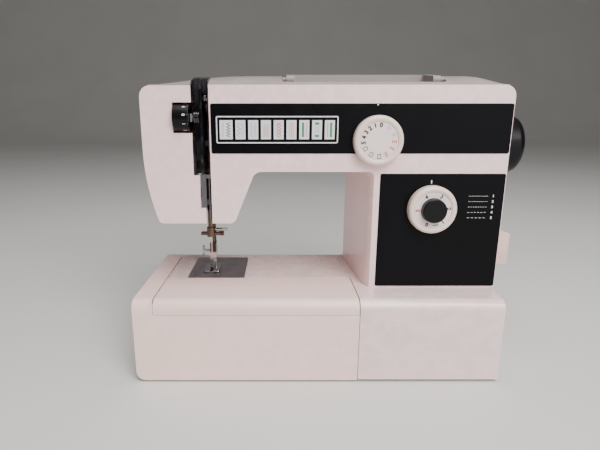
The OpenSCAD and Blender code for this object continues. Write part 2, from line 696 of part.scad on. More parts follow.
module needle_clamp() color("silver") place() {
  difference() {
    rod_z(133.5, 144.6, needle_x, shaft_y, 5.2);
    rod_z(138, 145, needle_x, shaft_y, bar_r);
    rod_z(133, 138.2, needle_x, shaft_y, 1);
  }
  // lever of the clamp screw
  rod_x(needle_x + 4.9, 88.5, shaft_y, 142, 1.8);
  rod_x(needle_x + 4.9, 84, shaft_y, 137, 1.5);
}

module needle() color("silver") place() {
  rod_z(125, 138, needle_x, shaft_y, 1);
  rod_z(112, 125.1, needle_x, shaft_y, 0.5);
  translate([needle_x, shaft_y, 106.5]) cylinder(h = 5.6, r1 = 0.1, r2 = 0.5);
}

// the rod's upper eye stays beside the crank pin, with a gap
module con_rod() color("gray") place() difference() {
  union() {
    block([rod_x0, shaft_y - 3.2, 217], [rod_x1, shaft_y + 3.2, shaft_z + crank_r]);
    rod_x(rod_x0, rod_x1, shaft_y, 217, 5);
    rod_x(rod_x0, rod_x1, shaft_y, shaft_z + crank_r, 6);
  }
  rod_x(76, 82, shaft_y, 217, 2.6 + running);
  rod_x(76, 82, shaft_y, shaft_z + crank_r, 3.3);
}

// long lever whose eye runs up and down the thread slot
module take_up_lever() color("silver") place() difference() {
  union() {
    rod_x(takeup_x, takeup_x + takeup_t, takeup_y, takeup_z, 6);
    along_x(takeup_x, takeup_x + takeup_t)
      polygon([[takeup_y - 3, takeup_z + 5], [takeup_y - 4, takeup_z - 4], [48, 284], [42.6, 288], [43.4, 293], [50, 294]]);
  }
  rod_x(takeup_x - cut, takeup_x + 4, takeup_y, takeup_z, 3 + running);
  rod_x(takeup_x - cut, takeup_x + 4, 47.2, 289.6, 1.2);
}

module presser_bar() color("peru") place() {
  rod_z(116, 262, needle_x, press_y, bar_r);
  rod_z(189, 193, needle_x, press_y, 4.5);
}

module presser_spring() color("silver") place() difference() {
  rod_z(193, 240, needle_x, press_y, 4.4);
  rod_z(192, 241, needle_x, press_y, bar_r + 0.2);
}

// ankle clamped to the presser bar, with a zigzag foot
foot_y0 = shaft_y - 12;
module presser_foot() color("silver") place() difference() {
  union() {
    block([needle_x - 4, press_y - 5.5, 96], [needle_x + 3.6, press_y + 5.5, 122]);
    block([needle_x - 4, shaft_y + 6, bed_z + 2.5], [needle_x + 4, press_y + 5, 97]);
    along_z(bed_z + 1, bed_z + 3) panel([needle_x - 9.5, foot_y0], [needle_x + 9.5, press_y + 2], 2);
  }
  rod_z(115, 124, needle_x, press_y, bar_r);
  block([needle_x - 3.6, shaft_y - 2, bed_z], [needle_x + 3.6, shaft_y + 2, bed_z + 4]);
  block([needle_x - 1.4, foot_y0 - cut, bed_z], [needle_x + 1.4, shaft_y, bed_z + 4]);
  rod_x(needle_x - 12, needle_x - 2, press_y, 111, 1.6);
}

module foot_screw() color("silver") place() {
  rod_x(56.4, 58.2, press_y, 111, 6.5);
  rod_x(58.1, needle_x - 2, press_y, 111, 1.6);
}

module presser_lifter() color("silver") place() difference() {
  union() {
    rod_x(50, 56, lift_y, lift_z, 6);
    along_x(50, 56) polygon([[lift_y, lift_z + 5], [lift_y - 4, lift_z - 4], [154, 166], [162, 163], [163.5, 167], [155, 171]]);
  }
  rod_x(49, 57, lift_y, lift_z, 3 + running);
}

module feed_carrier() color("gray") place() {
  block([58, shaft_y + 17.6, 79], [80, shaft_y + 24, 87.5]);
  block([58, shaft_y + 17.6, 76], [80, shaft_y + 44, 80]);
}

module feed_dog() color("silver") place() {
  difference() {
    block([60, shaft_y - 11, 85], [79.5, shaft_y + 15, 86.8]);
    block([needle_x - 4.5, shaft_y - 5, 84], [needle_x + 4.5, shaft_y + 5, 88]);
  }
  for (x = feed_rows) {
    block([x, shaft_y - 9, 86.7], [x + 2.5, shaft_y + 11, bed_z + 0.2]);
    for (i = [0:9])
      along_x(x, x + 2.5) translate([shaft_y - 9 + 2 * i, bed_z + 0.1]) polygon([[0, 0], [2, 0], [1.4, 0.7]]);
  }
}

// ---- dials and controls ----

// turned knob that stands on the panel: a round rim of height h about a sunk face of radius face_r
face_sunk = 1.6;
dial_face_r = 19;
button_r = 12.4;
module knob(x, z, face_r, h, bore) translate([x, front_y - 0.9, z]) rotate([90, 0, 0]) rotate_extrude() polygon([
  [bore, 0], [dial_r, 0], [dial_r, h - 4], [dial_r - 1.2, h - 1.6], [dial_r - 3.4, h], [face_r + 0.8, h - 0.6],
  [face_r, h - face_sunk], [bore, h - face_sunk]]);

module pattern_dial() color("ivory") place() {
  knob(pattern_x, pattern_z, dial_face_r, 10, 0);
  rod_y(front_y - 1, front_y + 18, pattern_x, pattern_z, 5.6);
  rod_y(front_y + 6, front_y + 10, pattern_x, pattern_z, 14);
}

module length_dial() color("ivory") place() {
  knob(length_x, length_z, dial_face_r, 10, button_r + loose);
  difference() {
    union() {
      rod_y(front_y - 1, front_y + 14, length_x, length_z, 15.6);
      rod_y(front_y + 6, front_y + 10, length_x, length_z, 22);
    }
    rod_y(front_y - 2, front_y + 15, length_x, length_z, button_r + loose);
  }
}

module reverse_button() color("black") place() {
  rod_y(front_y - 16, front_y + 8, length_x, length_z, button_r);
  rod_y(front_y + 7.9, front_y + 22, length_x, length_z, 5);
}

module tension_dial() color("black") place() difference() {
  rod_x(43.9, 60.2, tension_y, tension_z, tension_r);
  rod_x(56, 61, tension_y, tension_z, 9);
  rod_x(40, 62, tension_y, tension_z, 3 + running);
}

// stud, spacer and the three discs that pinch the thread
module tension_unit() color("silver") place() {
  rod_x(46, 69.4, tension_y, tension_z, 3);
  for (x = [64.4, 66.3, 68.2]) rod_x(x, x + 1.1, tension_y, tension_z, 7);
}

module lamp_bulb() color("lightyellow") place() {
  rod_z(206, 216, 38, 95, 7);
  rod_z(190, 206.1, 38, 95, 9);
  translate([38, 95, 190]) sphere(r = 9);
}

module carry_handle() color("ivory") place() difference() {
  union() {
    along_z(handle_z - 3, crown_z + 1.5) difference() {
      panel([handle_x0, handle_y0], [handle_x1, handle_y1], 4);
      panel([handle_x0 + 8, handle_y0 - 20], [handle_x1 - 8, handle_y1 - 13], 3);
    }
    rod_x(handle_x0, handle_x0 + 8, handle_y0, handle_z, 3.6);
    rod_x(handle_x1 - 8, handle_x1, handle_y0, handle_z, 3.6);
    rod_x(handle_x0 - 3.6, handle_x0 + 0.1, handle_y0, handle_z, 2);
    rod_x(handle_x1 - 0.1, handle_x1 + 3.6, handle_y0, handle_z, 2);
  }
  // the arms fall away towards the pivots
  along_x(handle_x0 - cut, handle_x1 + cut)
    polygon([[handle_y0 - 10, handle_z + 4], [handle_y0 + 4, handle_z + 4], [handle_y1 - 13, crown_z + 1.6],
      [handle_y1 - 13, crown_z + 9], [handle_y0 - 10, crown_z + 9]]);
}

module spool_pins() color("ivory") place() {
  for (x = pin_at) rod_z(240, 312, x, pin_y, 3);
  block([pin_at[0] - 5, pin_y - 4, 236], [pin_at[1] + 5, pin_y + 4, 241]);
}

module bobbin_winder() color("ivory") place() {
  rod_z(296, 305, winder_x, winder_y, 4);
  along_z(304.8, 307.6) hull() {
    translate([winder_x, winder_y]) circle(r = 7);
    translate([winder_x + 13, winder_y]) circle(r = 7);
  }
  rod_z(307.5, 315, winder_x + 13, winder_y, 3);
}

// ---- mains connection ----

module terminal_housing() color("antiquewhite") place() difference() {
  along_y(term_y0, term_y1) polygon([[col_x1 + 0.1, term_z0], [term_x1, term_z0], [term_x1, term_z1],
    [col_x1 + 0.1, term_z1 + term_lean]]);
  block([inlet_x, inlet_y[0], inlet_z[0]], [term_x1 + cut, inlet_y[1], inlet_z[1]]);
  block([term_x1 - 9, switch_y - 7.4, switch_z - 10.4], [term_x1 + cut, switch_y + 7.4, switch_z + 10.4]);
}

module inlet_pins() color("gold") place()
  for (p = [[86, 116], [96, 116], [91, 126]]) rod_x(inlet_x, inlet_x + 11, p.x, p.y, 1.8);

module light_switch() color("black") place()
  along_y(switch_y - 7, switch_y + 7) polygon([[term_x1 - 7, switch_z - 6], [term_x1 - 1, switch_z - 9.6],
    [term_x1 + 1.2, switch_z - 9.2], [term_x1 - 0.2, switch_z], [term_x1 + 1.2, switch_z + 9.2],
    [term_x1 - 1, switch_z + 9.6], [term_x1 - 7, switch_z + 6]]);

bed_casting();
free_arm();
bottom_plate();
rubber_feet();
needle_plate();
screws();
arm_frame();
shaft_bushes();
front_cover();
rear_cover();
top_cover();
upper_panel();
lower_panel();
pattern_window();
slot_liner();
thread_guides();
tension_unit();
motor();
belts();
terminal_housing();
inlet_pins();
bobbin_case();
presser_spring();
lamp_bulb();
handwheel();
main_shaft();
crank_disc();
upper_pulley();
clutch_knob();
lower_shaft();
lower_pulley();
lower_gear();
hook();
bobbin();
motor_pulley();
cam_stack();
needle_gate();
needle_bar();
needle_clamp();
needle();
con_rod();
take_up_lever();
presser_bar();
presser_foot();
foot_screw();
presser_lifter();
feed_carrier();
feed_dog();
pattern_dial();
length_dial();
reverse_button();
tension_dial();
face_cover();
carry_handle();
table_body();
table_lid();
shuttle_door();
spool_pins();
bobbin_winder();
light_switch();
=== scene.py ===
"""Free-arm zigzag sewing machine: casings, controls, printed markings, finishes and a plain studio."""

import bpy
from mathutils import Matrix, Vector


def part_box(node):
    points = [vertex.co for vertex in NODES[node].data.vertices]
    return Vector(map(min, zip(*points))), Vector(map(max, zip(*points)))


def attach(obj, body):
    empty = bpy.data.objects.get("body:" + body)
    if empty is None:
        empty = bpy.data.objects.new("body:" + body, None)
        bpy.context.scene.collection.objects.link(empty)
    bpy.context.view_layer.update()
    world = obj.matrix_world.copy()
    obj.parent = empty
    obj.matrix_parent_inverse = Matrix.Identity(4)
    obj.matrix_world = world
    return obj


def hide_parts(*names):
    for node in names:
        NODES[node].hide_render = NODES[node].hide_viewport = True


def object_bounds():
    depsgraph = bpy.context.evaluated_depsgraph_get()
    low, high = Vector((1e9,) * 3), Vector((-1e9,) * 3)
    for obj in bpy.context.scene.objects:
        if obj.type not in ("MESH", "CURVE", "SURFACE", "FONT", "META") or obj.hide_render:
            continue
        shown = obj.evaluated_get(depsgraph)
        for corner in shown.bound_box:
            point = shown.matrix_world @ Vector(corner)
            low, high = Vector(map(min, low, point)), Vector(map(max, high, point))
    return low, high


bl_info = {
    "name": "Free-arm Sewing Machine",
    "version": (1, 0, 0),
    "blender": (4, 5, 0),
    "location": "3D View > Sidebar > Sewing Machine",
    "description": "Dresses the sewing machine's frame with its casings, controls, prints and finishes",
    "category": "Object",
}

import math

import bmesh
import bpy
from bpy.props import FloatProperty, FloatVectorProperty, PointerProperty
from mathutils import Matrix, Vector, kdtree

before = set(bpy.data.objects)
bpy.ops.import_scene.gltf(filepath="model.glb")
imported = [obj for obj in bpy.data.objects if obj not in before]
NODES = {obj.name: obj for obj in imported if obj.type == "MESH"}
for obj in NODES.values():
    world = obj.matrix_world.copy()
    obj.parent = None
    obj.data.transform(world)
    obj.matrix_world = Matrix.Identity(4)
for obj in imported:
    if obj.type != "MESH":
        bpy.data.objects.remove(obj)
CAD_LOW, CAD_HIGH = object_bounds()

MM = 0.001
MERGE = 0.002 * MM  # vertices of neighbouring CAD faces that are this close are one
FLAT = math.radians(0.6)  # CAD triangles that turn by less than this are one face
SHARP = math.radians(32)  # an edge that turns by more than this stays crisp
WORN_REACH = 0.8  # wear reaches this share of a rounding's width from its edge


# ---- places ----


def at(x, y, z):
    """A point given in millimetres from the front left corner of the base."""
    return CAD_LOW + Vector((x, y, z)) * MM


def base_mm(point):
    """The same point in millimetres from the front left corner of the base."""
    return (point - CAD_LOW) / MM


def box_mm(node):
    """A CAD node's lowest and highest corner, in millimetres from the base's corner."""
    low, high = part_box(node)
    return base_mm(low), base_mm(high)


def on(value, plane, near=0.05):
    """True where a coordinate in millimetres lies on a plane."""
    return abs(value - plane) < near


def linear(value):
    """One display colour channel, 0 to 255, as the light that it stands for."""
    share = value / 255
    return share / 12.92 if share <= 0.04045 else ((share + 0.055) / 1.055) ** 2.4


def colour(red, green, blue):
    """A display colour as a linear colour."""
    return (linear(red), linear(green), linear(blue))


# ---- settings ----


def chosen_colour(name, description, red, green, blue):
    """A colour setting with its default as a display colour."""
    return FloatVectorProperty(name=name, description=description, subtype="COLOR", size=3, min=0, max=1,
                               default=colour(red, green, blue))


class MachineColours(bpy.types.PropertyGroup):
    """Colours of the mouldings, the panels and the printing"""

    casing: chosen_colour("Casing", "Glossy ivory of the head, arm and column", 243, 213, 212)
    table: chosen_colour("Table", "Yellowed ivory of the slide-off table", 245, 214, 205)
    terminal: chosen_colour("Terminal housing", "Beige of the mains terminal housing", 226, 196, 184)
    dial: chosen_colour("Dials", "Cream of the two dials", 236, 212, 200)
    panel: chosen_colour("Panels", "Near-black of the printed panels", 9, 8, 12)
    print_white: chosen_colour("White print", "Markings on the black parts", 232, 230, 228)


class MachineSizes(bpy.types.PropertyGroup):
    """Roundings of the mouldings and the thickness of the printing"""

    casing_edge: FloatProperty(
        name="Casing edge", description="Rounding of the casing's outer edges", unit="LENGTH",
        default=2.6 * MM, min=0.5 * MM, max=4 * MM)
    small_edge: FloatProperty(
        name="Small edge", description="Rounding of seams, panels and small parts", unit="LENGTH",
        default=0.45 * MM, min=0.1 * MM, max=1 * MM)
    print_rise: FloatProperty(
        name="Print thickness", description="How far the printing stands above its surface",
        unit="LENGTH", default=0.12 * MM, min=0.05 * MM, max=0.3 * MM)
    camera_lens: FloatProperty(
        name="Camera lens", description="Focal length of the camera in millimetres", default=27.12,
        min=15, max=100)


def colours():
    """The scene's colour settings."""
    return bpy.context.scene.machine_colours


def sizes():
    """The scene's size settings."""
    return bpy.context.scene.machine_sizes


# ---- modelling helpers ----


def deselect():
    """Nothing is selected, in object mode."""
    active = bpy.context.view_layer.objects.active
    if active is not None and active.mode != "OBJECT":
        bpy.ops.object.mode_set(mode="OBJECT")
    bpy.ops.object.select_all(action="DESELECT")


def activate(obj):
    """Only obj is selected, and it is active."""
    deselect()
    obj.select_set(True)
    bpy.context.view_layer.objects.active = obj


def pick(obj, chosen):
    """Enters edit mode with the vertices for which chosen(place) holds, and what they bound."""
    activate(obj)
    bpy.context.tool_settings.mesh_select_mode = (True, False, False)
    bpy.ops.object.mode_set(mode="EDIT")
    bpy.ops.mesh.select_all(action="DESELECT")
    bpy.ops.object.mode_set(mode="OBJECT")
    for vertex in obj.data.vertices:
        vertex.select = chosen(vertex.co)
    bpy.ops.object.mode_set(mode="EDIT")


def rename(name):
    """Names the active object and its mesh, and returns it."""
    obj = bpy.context.view_layer.objects.active
    obj.name = name
    obj.data.name = name
    return obj


def settle(obj):
    """Puts the object's place into its mesh, so that the object sits at the origin."""
    activate(obj)
    bpy.ops.object.transform_apply(location=True, rotation=True, scale=True)
    return obj


def modify(obj, kind, **values):
    """Adds one modifier with these values and applies it."""
    activate(obj)
    modifier = obj.modifiers.new(kind.title(), kind)
    for key, value in values.items():
        setattr(modifier, key, value)
    bpy.ops.object.modifier_apply(modifier=modifier.name)
    return obj


def outward(obj):
    """Merges the mesh's doubles and turns its faces outwards."""
    activate(obj)
    bpy.ops.object.mode_set(mode="EDIT")
    bpy.ops.mesh.select_all(action="SELECT")
    bpy.ops.mesh.remove_doubles(threshold=MERGE)
    bpy.ops.mesh.normals_make_consistent(inside=False)
    bpy.ops.object.mode_set(mode="OBJECT")
    return obj


def smooth(obj, angle=SHARP):
    """Smooth shading up to an angle, with large flat faces kept flat."""
    activate(obj)
    bpy.ops.object.shade_smooth_by_angle(angle=angle, keep_sharp_edges=True)
    modify(obj, "WEIGHTED_NORMAL", weight=80, keep_sharp=True)
    return obj


def join(name, pieces):
    """Joins several objects into one."""
    deselect()
    for piece in pieces:
        piece.select_set(True)
    bpy.context.view_layer.objects.active = pieces[0]
    if len(pieces) > 1:
        bpy.ops.object.join()
    return rename(name)


def copy_of(node, name):
    """A copy of a CAD node's mesh with its triangles merged into faces."""
    obj = bpy.data.objects.new(name, NODES[node].data.copy())
    bpy.context.scene.collection.objects.link(obj)
    obj.data.materials.clear()
    activate(obj)
    bpy.ops.mesh.customdata_custom_splitnormals_clear()
    bpy.ops.object.mode_set(mode="EDIT")
    bpy.ops.mesh.select_all(action="SELECT")
    bpy.ops.mesh.remove_doubles(threshold=MERGE)
    bpy.ops.mesh.dissolve_limited(angle_limit=FLAT)
    bpy.ops.mesh.select_all(action="DESELECT")
    bpy.ops.object.mode_set(mode="OBJECT")
    return obj


def everywhere(mid, along):
    """The whole rounding on every edge."""
    return 1.0


def soften(obj, width, share=everywhere, segments=3, above=35):
    """Rounds the edges that turn by more than an angle, each by its own share of width.

    share(mid, along) has the edge's middle in base millimetres and its direction. The attribute "edge"
    is then 1 along the rounded edges and 0 away from them, for the wear in the finishes.
    """
    mesh = bmesh.new()
    mesh.from_mesh(obj.data)
    weight = mesh.edges.layers.float.new("bevel_weight_edge")
    marks = []
    for edge in mesh.edges:
        if len(edge.link_faces) != 2 or edge.calc_face_angle(0) < math.radians(above):
            continue
        first, last = edge.verts
        run = last.co - first.co
        edge[weight] = max(0.0, min(1.0, share(base_mm((first.co + last.co) / 2), run.normalized())))
        if edge[weight] > 0:
            steps = max(1, int(run.length / width))
            marks += [first.co + run * (i / steps) for i in range(steps + 1)]
    mesh.to_mesh(obj.data)
    mesh.free()
    if not marks:
        raise RuntimeError(f"{obj.name}: no edge was chosen for rounding")
    modify(obj, "BEVEL", width=width, segments=segments, limit_method="WEIGHT", profile=0.5,
           use_clamp_overlap=True, miter_outer="MITER_ARC", harden_normals=False)
    tree = kdtree.KDTree(len(marks))
    for i, mark in enumerate(marks):
        tree.insert(mark, i)
    tree.balance()
    if "edge" in obj.data.attributes:
        obj.data.attributes.remove(obj.data.attributes["edge"])
    edge_mask = obj.data.attributes.new("edge", "FLOAT", "POINT")
    for vertex, value in zip(obj.data.vertices, edge_mask.data):
        value.value = max(0.0, 1 - tree.find(vertex.co)[2] / (WORN_REACH * width))
    return obj


def finish_piece(obj, material, body, slot, *nodes):
    """Gives a piece its material and body, and hides the CAD nodes that it stands for. The slot is not
    used.
    """
    obj.data.materials.clear()
    obj.data.materials.append(MATERIALS[material])
    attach(obj, body)
    if nodes:
        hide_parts(*nodes)
    return obj


def moulded(node, name, width, material, body, slot=None, share=everywhere, segments=3):
    """A rounded copy of one CAD node, finished and put in the node's place."""
    obj = copy_of(node, name)
    soften(obj, width, share, segments)
    return finish_piece(smooth(obj), material, body, slot or material, node)


def slab(name, low, high, edge=0.0, segments=3):
    """A plate between two corners given in base millimetres, with all its edges rounded."""
    first, last = at(*low), at(*high)
    deselect()
    bpy.ops.mesh.primitive_cube_add(size=1, location=(first + last) / 2, scale=last - first)
    obj = settle(rename(name))
    if edge > 0:
        modify(obj, "BEVEL", width=edge, segments=segments, limit_method="ANGLE")
        smooth(obj)
    return obj


def rounded_plate(name, low, high, radius, rim=0.0):
    """An upright plate with round corners between two corners in base millimetres, or only its rim."""
    first, last = at(*low), at(*high)
    centre, size = (first + last) / 2, last - first
    deselect()
    bpy.ops.mesh.primitive_plane_add(size=1, location=centre, rotation=(math.radians(90), 0, 0))
    obj = rename(name)
    obj.scale = (size.x, size.z, 1)
    settle(obj)
    pick(obj, lambda place: True)
    bpy.ops.mesh.bevel(offset=radius * MM, segments=6, affect="VERTICES")
    if rim > 0:
        bpy.ops.mesh.select_mode(type="FACE")
        bpy.ops.mesh.select_all(action="SELECT")
        bpy.ops.mesh.inset(thickness=rim * MM)
        bpy.ops.mesh.delete(type="FACE")
    bpy.ops.object.mode_set(mode="OBJECT")
    modify(obj, "SOLIDIFY", thickness=size.y, offset=0.0)
    return smooth(obj)


def turned(name, profile, place, direction, steps=96):
    """A closed turned piece: (radius, height) points in millimetres, spun round an axis from place."""
    deselect()
    bpy.ops.mesh.primitive_plane_add(size=1 * MM)
    obj = rename(name)
    chain = bmesh.new()
    points = [chain.verts.new((radius * MM, 0, height * MM)) for radius, height in profile]
    for first, last in zip(points, points[1:]):
        chain.edges.new((first, last))
    chain.to_mesh(obj.data)
    chain.free()
    pick(obj, lambda spot: True)
    bpy.ops.mesh.spin(steps=steps, angle=math.tau, center=(0, 0, 0), axis=(0, 0, 1))
    bpy.ops.object.mode_set(mode="OBJECT")
    outward(obj)
    turn = Vector(direction).to_track_quat("Z", "Y").to_matrix().to_4x4()
    obj.data.transform(Matrix.Translation(place) @ turn)
    return smooth(obj)


def stroke(name, lines, radius, closed=False):
    """Thin flattened lines in one upright plane, through points in base millimetres, as one mesh."""
    curve = bpy.data.curves.new(name, "CURVE")
    curve.dimensions = "3D"
    curve.bevel_depth = radius * MM
    curve.bevel_resolution = 1
    curve.use_fill_caps = True
    for points in lines:
        line = curve.splines.new("POLY")
        line.points.add(len(points) - 1)
        for spot, point in zip(line.points, points):
            spot.co = (*at(*point), 1)
        line.use_cyclic_u = closed
    obj = bpy.data.objects.new(name, curve)
    bpy.context.scene.collection.objects.link(obj)
    activate(obj)
    bpy.ops.object.convert(target="MESH")
    obj = bpy.context.view_layer.objects.active
    plane = at(*lines[0][0]).y
    obj.data.transform(Matrix.Translation((0, plane, 0)) @ Matrix.Diagonal((1, 0.3, 1, 1))
                       @ Matrix.Translation((0, -plane, 0)))
    bpy.ops.object.shade_smooth()
    return obj


def figures(name, marks, height, bold=0.07):
    """Printed figures as one thin mesh, from pairs of a text and the frame that it stands in.

    In its own frame a figure's X runs right, Y up and Z out of the surface that it is printed on.
    """
    deselect()
    for text, place in marks:
        curve = bpy.data.curves.new(name, "FONT")
        curve.body = text
        curve.align_x = "CENTER"
        curve.align_y = "CENTER"
        curve.size = height * MM / 0.7  # a digit is 0.7 of the type size tall
        curve.extrude = sizes().print_rise / 2
        curve.offset = bold * height * MM
        curve.resolution_u = 3
        obj = bpy.data.objects.new(name, curve)
        bpy.context.scene.collection.objects.link(obj)
        obj.matrix_world = place
        obj.select_set(True)
        bpy.context.view_layer.objects.active = obj
    bpy.ops.object.convert(target="MESH")
    bpy.ops.object.join()
    return outward(settle(rename(name)))


def facing_front(point, turn=0.0):
    """Frame of print on a surface that faces the operator, turned clockwise by an angle in degrees."""
    upright = Matrix.Rotation(math.radians(90), 4, "X")
    return Matrix.Translation(at(*point)) @ Matrix.Rotation(math.radians(turn), 4, "Y") @ upright


def round_dial(centre, radius, angle, face):
    """Point on a dial's face at a clockwise angle from the top, in base millimetres."""
    a = math.radians(angle)
    return (centre.x + radius * math.sin(a), face, centre.z + radius * math.cos(a))


def print_group(name, marks, material, body):
    """Joins printed marks of one ink into one piece on a body."""
    return finish_piece(join(name, marks), material, body, PRINT_SLOTS[body])


PRINT_SLOTS = {"machine": "window_white", "pattern_dial": "knob_cream", "length_dial": "knob_cream",
               "tension_dial": "black_gloss"}


# ---- shader helpers ----

MATERIALS = {}


def add(tree, kind, settings=None, **values):
    """One shader node. Each value sets an input, or links it if the value is a socket."""
    node = tree.nodes.new(kind)
    for key, value in (settings or {}).items():
        setattr(node, key, value)
    for name, value in values.items():
        key = int(name[1:]) if name[0] == "i" and name[1:].isdigit() else name.replace("_", " ")
        if isinstance(value, bpy.types.NodeSocket):
            tree.links.new(value, node.inputs[key])
        else:
            node.inputs[key].default_value = value
    return node


def new_group(name, inputs, outputs):
    """An empty shader node group with named sockets; returns its tree, its input and output nodes."""
    tree = bpy.data.node_groups.new(name, "ShaderNodeTree")
    kinds = {"float": "NodeSocketFloat", "colour": "NodeSocketColor", "vector": "NodeSocketVector"}
    for socket, kind, value in inputs:
        made = tree.interface.new_socket(socket, in_out="INPUT", socket_type=kinds[kind])
        made.default_value = value
    for socket, kind in outputs:
        tree.interface.new_socket(socket, in_out="OUTPUT", socket_type=kinds[kind])
    return tree, tree.nodes.new("NodeGroupInput"), tree.nodes.new("NodeGroupOutput")


def mix(tree, factor, first, second):
    """Colour between two colours."""
    node = add(tree, "ShaderNodeMix", {"data_type": "RGBA"})
    for key, value in ((0, factor), (6, first), (7, second)):
        if isinstance(value, bpy.types.NodeSocket):
            tree.links.new(value, node.inputs[key])
        else:
            node.inputs[key].default_value = value
    return node.outputs[2]


def ramp(tree, value, low, high, to_low=0.0, to_high=1.0):
    """Maps a value smoothly from one range to another."""
    node = add(tree, "ShaderNodeMapRange", {"interpolation_type": "SMOOTHSTEP"},
               Value=value, From_Min=low, From_Max=high, To_Min=to_low, To_Max=to_high)
    return node.outputs["Result"]


def noise(tree, scale, detail=3.0, stretch=(1, 1, 1)):
    """Noise in the object's own space."""
    place = add(tree, "ShaderNodeTexCoord").outputs["Object"]
    if stretch != (1, 1, 1):
        place = add(tree, "ShaderNodeMapping", Vector=place, Scale=stretch).outputs["Vector"]
    return add(tree, "ShaderNodeTexNoise", Vector=place, Scale=scale, Detail=detail).outputs["Fac"]


def maths(tree, operation, first, second):
    """Two values through one operation."""
    return add(tree, "ShaderNodeMath", {"operation": operation}, i0=first, i1=second).outputs[0]


def build_surface_group():
    """Moulded or painted surface: uneven colour, uneven gloss and a fine skin."""
    tree, given, out = new_group(
        "moulded_surface",
        [("Colour", "colour", (0.8, 0.8, 0.8, 1)), ("Shade", "colour", (0.7, 0.7, 0.7, 1)),
         ("Patches", "float", 22.0), ("Grain", "float", 1600.0),
         ("Roughness", "float", 0.3), ("Uneven", "float", 0.06)],
        [("Colour", "colour"), ("Roughness", "float"), ("Height", "float")])
    patches = noise(tree, given.outputs["Patches"], 4.0)
    smears = noise(tree, 70.0, 5.0, (1, 1, 0.35))
    grain = noise(tree, given.outputs["Grain"], 2.0)
    tint = mix(tree, ramp(tree, patches, 0.36, 0.68), given.outputs["Colour"], given.outputs["Shade"])
    speck = ramp(tree, noise(tree, 520.0, 2.0), 0.73, 0.8)
    tree.links.new(mix(tree, maths(tree, "MULTIPLY", speck, 0.25), tint, given.outputs["Shade"]),
                   out.inputs["Colour"])
    spread = maths(tree, "MULTIPLY", maths(tree, "SUBTRACT", smears, 0.5), given.outputs["Uneven"])
    tree.links.new(maths(tree, "ADD", given.outputs["Roughness"], maths(tree, "MULTIPLY", spread, 4.0)),
                   out.inputs["Roughness"])
    tree.links.new(maths(tree, "ADD", grain, maths(tree, "MULTIPLY", patches, 0.6)),
                   out.inputs["Height"])
    return tree


def build_wear_group():
    """Wear along the rounded edges, broken up by noise."""
    tree, given, out = new_group(
        "edge_wear",
        [("Colour", "colour", (0.8, 0.8, 0.8, 1)), ("Worn", "colour", (0.9, 0.9, 0.9, 1)),
         ("Amount", "float", 0.5)],
        [("Colour", "colour"), ("Mask", "float")])
    edge = add(tree, "ShaderNodeAttribute", {"attribute_name": "edge"}).outputs["Fac"]
    broken = ramp(tree, noise(tree, 90.0, 5.0), 0.42, 0.62)
    mask = maths(tree, "MULTIPLY", maths(tree, "MULTIPLY", edge, broken), given.outputs["Amount"])
    tree.links.new(mix(tree, mask, given.outputs["Colour"], given.outputs["Worn"]), out.inputs["Colour"])
    tree.links.new(mask, out.inputs["Mask"])
    return tree


def build_dust_group():
    """Thin dust and yellowing on surfaces that face up."""
    tree, given, out = new_group(
        "dust",
        [("Colour", "colour", (0.8, 0.8, 0.8, 1)), ("Dust", "colour", (0.5, 0.48, 0.45, 1)),
         ("Amount", "float", 0.2)],
        [("Colour", "colour"), ("Mask", "float")])
    normal = add(tree, "ShaderNodeNewGeometry").outputs["Normal"]
    up = ramp(tree, add(tree, "ShaderNodeSeparateXYZ", Vector=normal).outputs["Z"], 0.35, 0.95)
    cloud = ramp(tree, noise(tree, 45.0, 6.0), 0.4, 0.72)
    mask = maths(tree, "MULTIPLY", maths(tree, "MULTIPLY", up, cloud), given.outputs["Amount"])
    tree.links.new(mix(tree, mask, given.outputs["Colour"], given.outputs["Dust"]), out.inputs["Colour"])
    tree.links.new(mask, out.inputs["Mask"])
    return tree


def build_metal_group():
    """Turned, ground or polished metal: fine lines, smudges and uneven gloss."""
    tree, given, out = new_group(
        "worked_metal",
        [("Colour", "colour", (0.6, 0.6, 0.6, 1)), ("Shade", "colour", (0.4, 0.4, 0.4, 1)),
         ("Roughness", "float", 0.2), ("Lines", "float", 900.0), ("Uneven", "float", 0.12)],
        [("Colour", "colour"), ("Roughness", "float"), ("Height", "float")])
    lines = noise(tree, given.outputs["Lines"], 2.0, (1, 0.06, 1))
    smudge = noise(tree, 60.0, 5.0)
    tint = mix(tree, ramp(tree, smudge, 0.35, 0.7), given.outputs["Colour"], given.outputs["Shade"])
    tree.links.new(tint, out.inputs["Colour"])
    spread = maths(tree, "MULTIPLY", maths(tree, "SUBTRACT", smudge, 0.4), given.outputs["Uneven"])
    tree.links.new(maths(tree, "ADD", given.outputs["Roughness"], spread), out.inputs["Roughness"])
    tree.links.new(lines, out.inputs["Height"])
    return tree


GROUPS = {}


def grouped(tree, name, **values):
    """One placed node group."""
    node = tree.nodes.new("ShaderNodeGroup")
    node.node_tree = GROUPS[name]
    for key, value in values.items():
        if isinstance(value, bpy.types.NodeSocket):
            tree.links.new(value, node.inputs[key])
        else:
            node.inputs[key].default_value = value
    return node


def rgba(value, gain=1.0):
    """A colour with alpha, made lighter or darker."""
    return (*(min(1.0, channel * gain) for channel in value[:3]), 1.0)


def blank(name):
    """A new material with one Principled shader; returns its tree and that shader."""
    material = bpy.data.materials.new(name)
    material.use_nodes = True
    MATERIALS[name] = material
    return material.node_tree, material.node_tree.nodes["Principled BSDF"]


def bumped(tree, shader, height, strength, distance=0.02 * MM):
    """Feeds a height to the shader's normal."""
    bump = add(tree, "ShaderNodeBump", Height=height, Strength=strength, Distance=distance)
    tree.links.new(bump.outputs["Normal"], shader.inputs["Normal"])


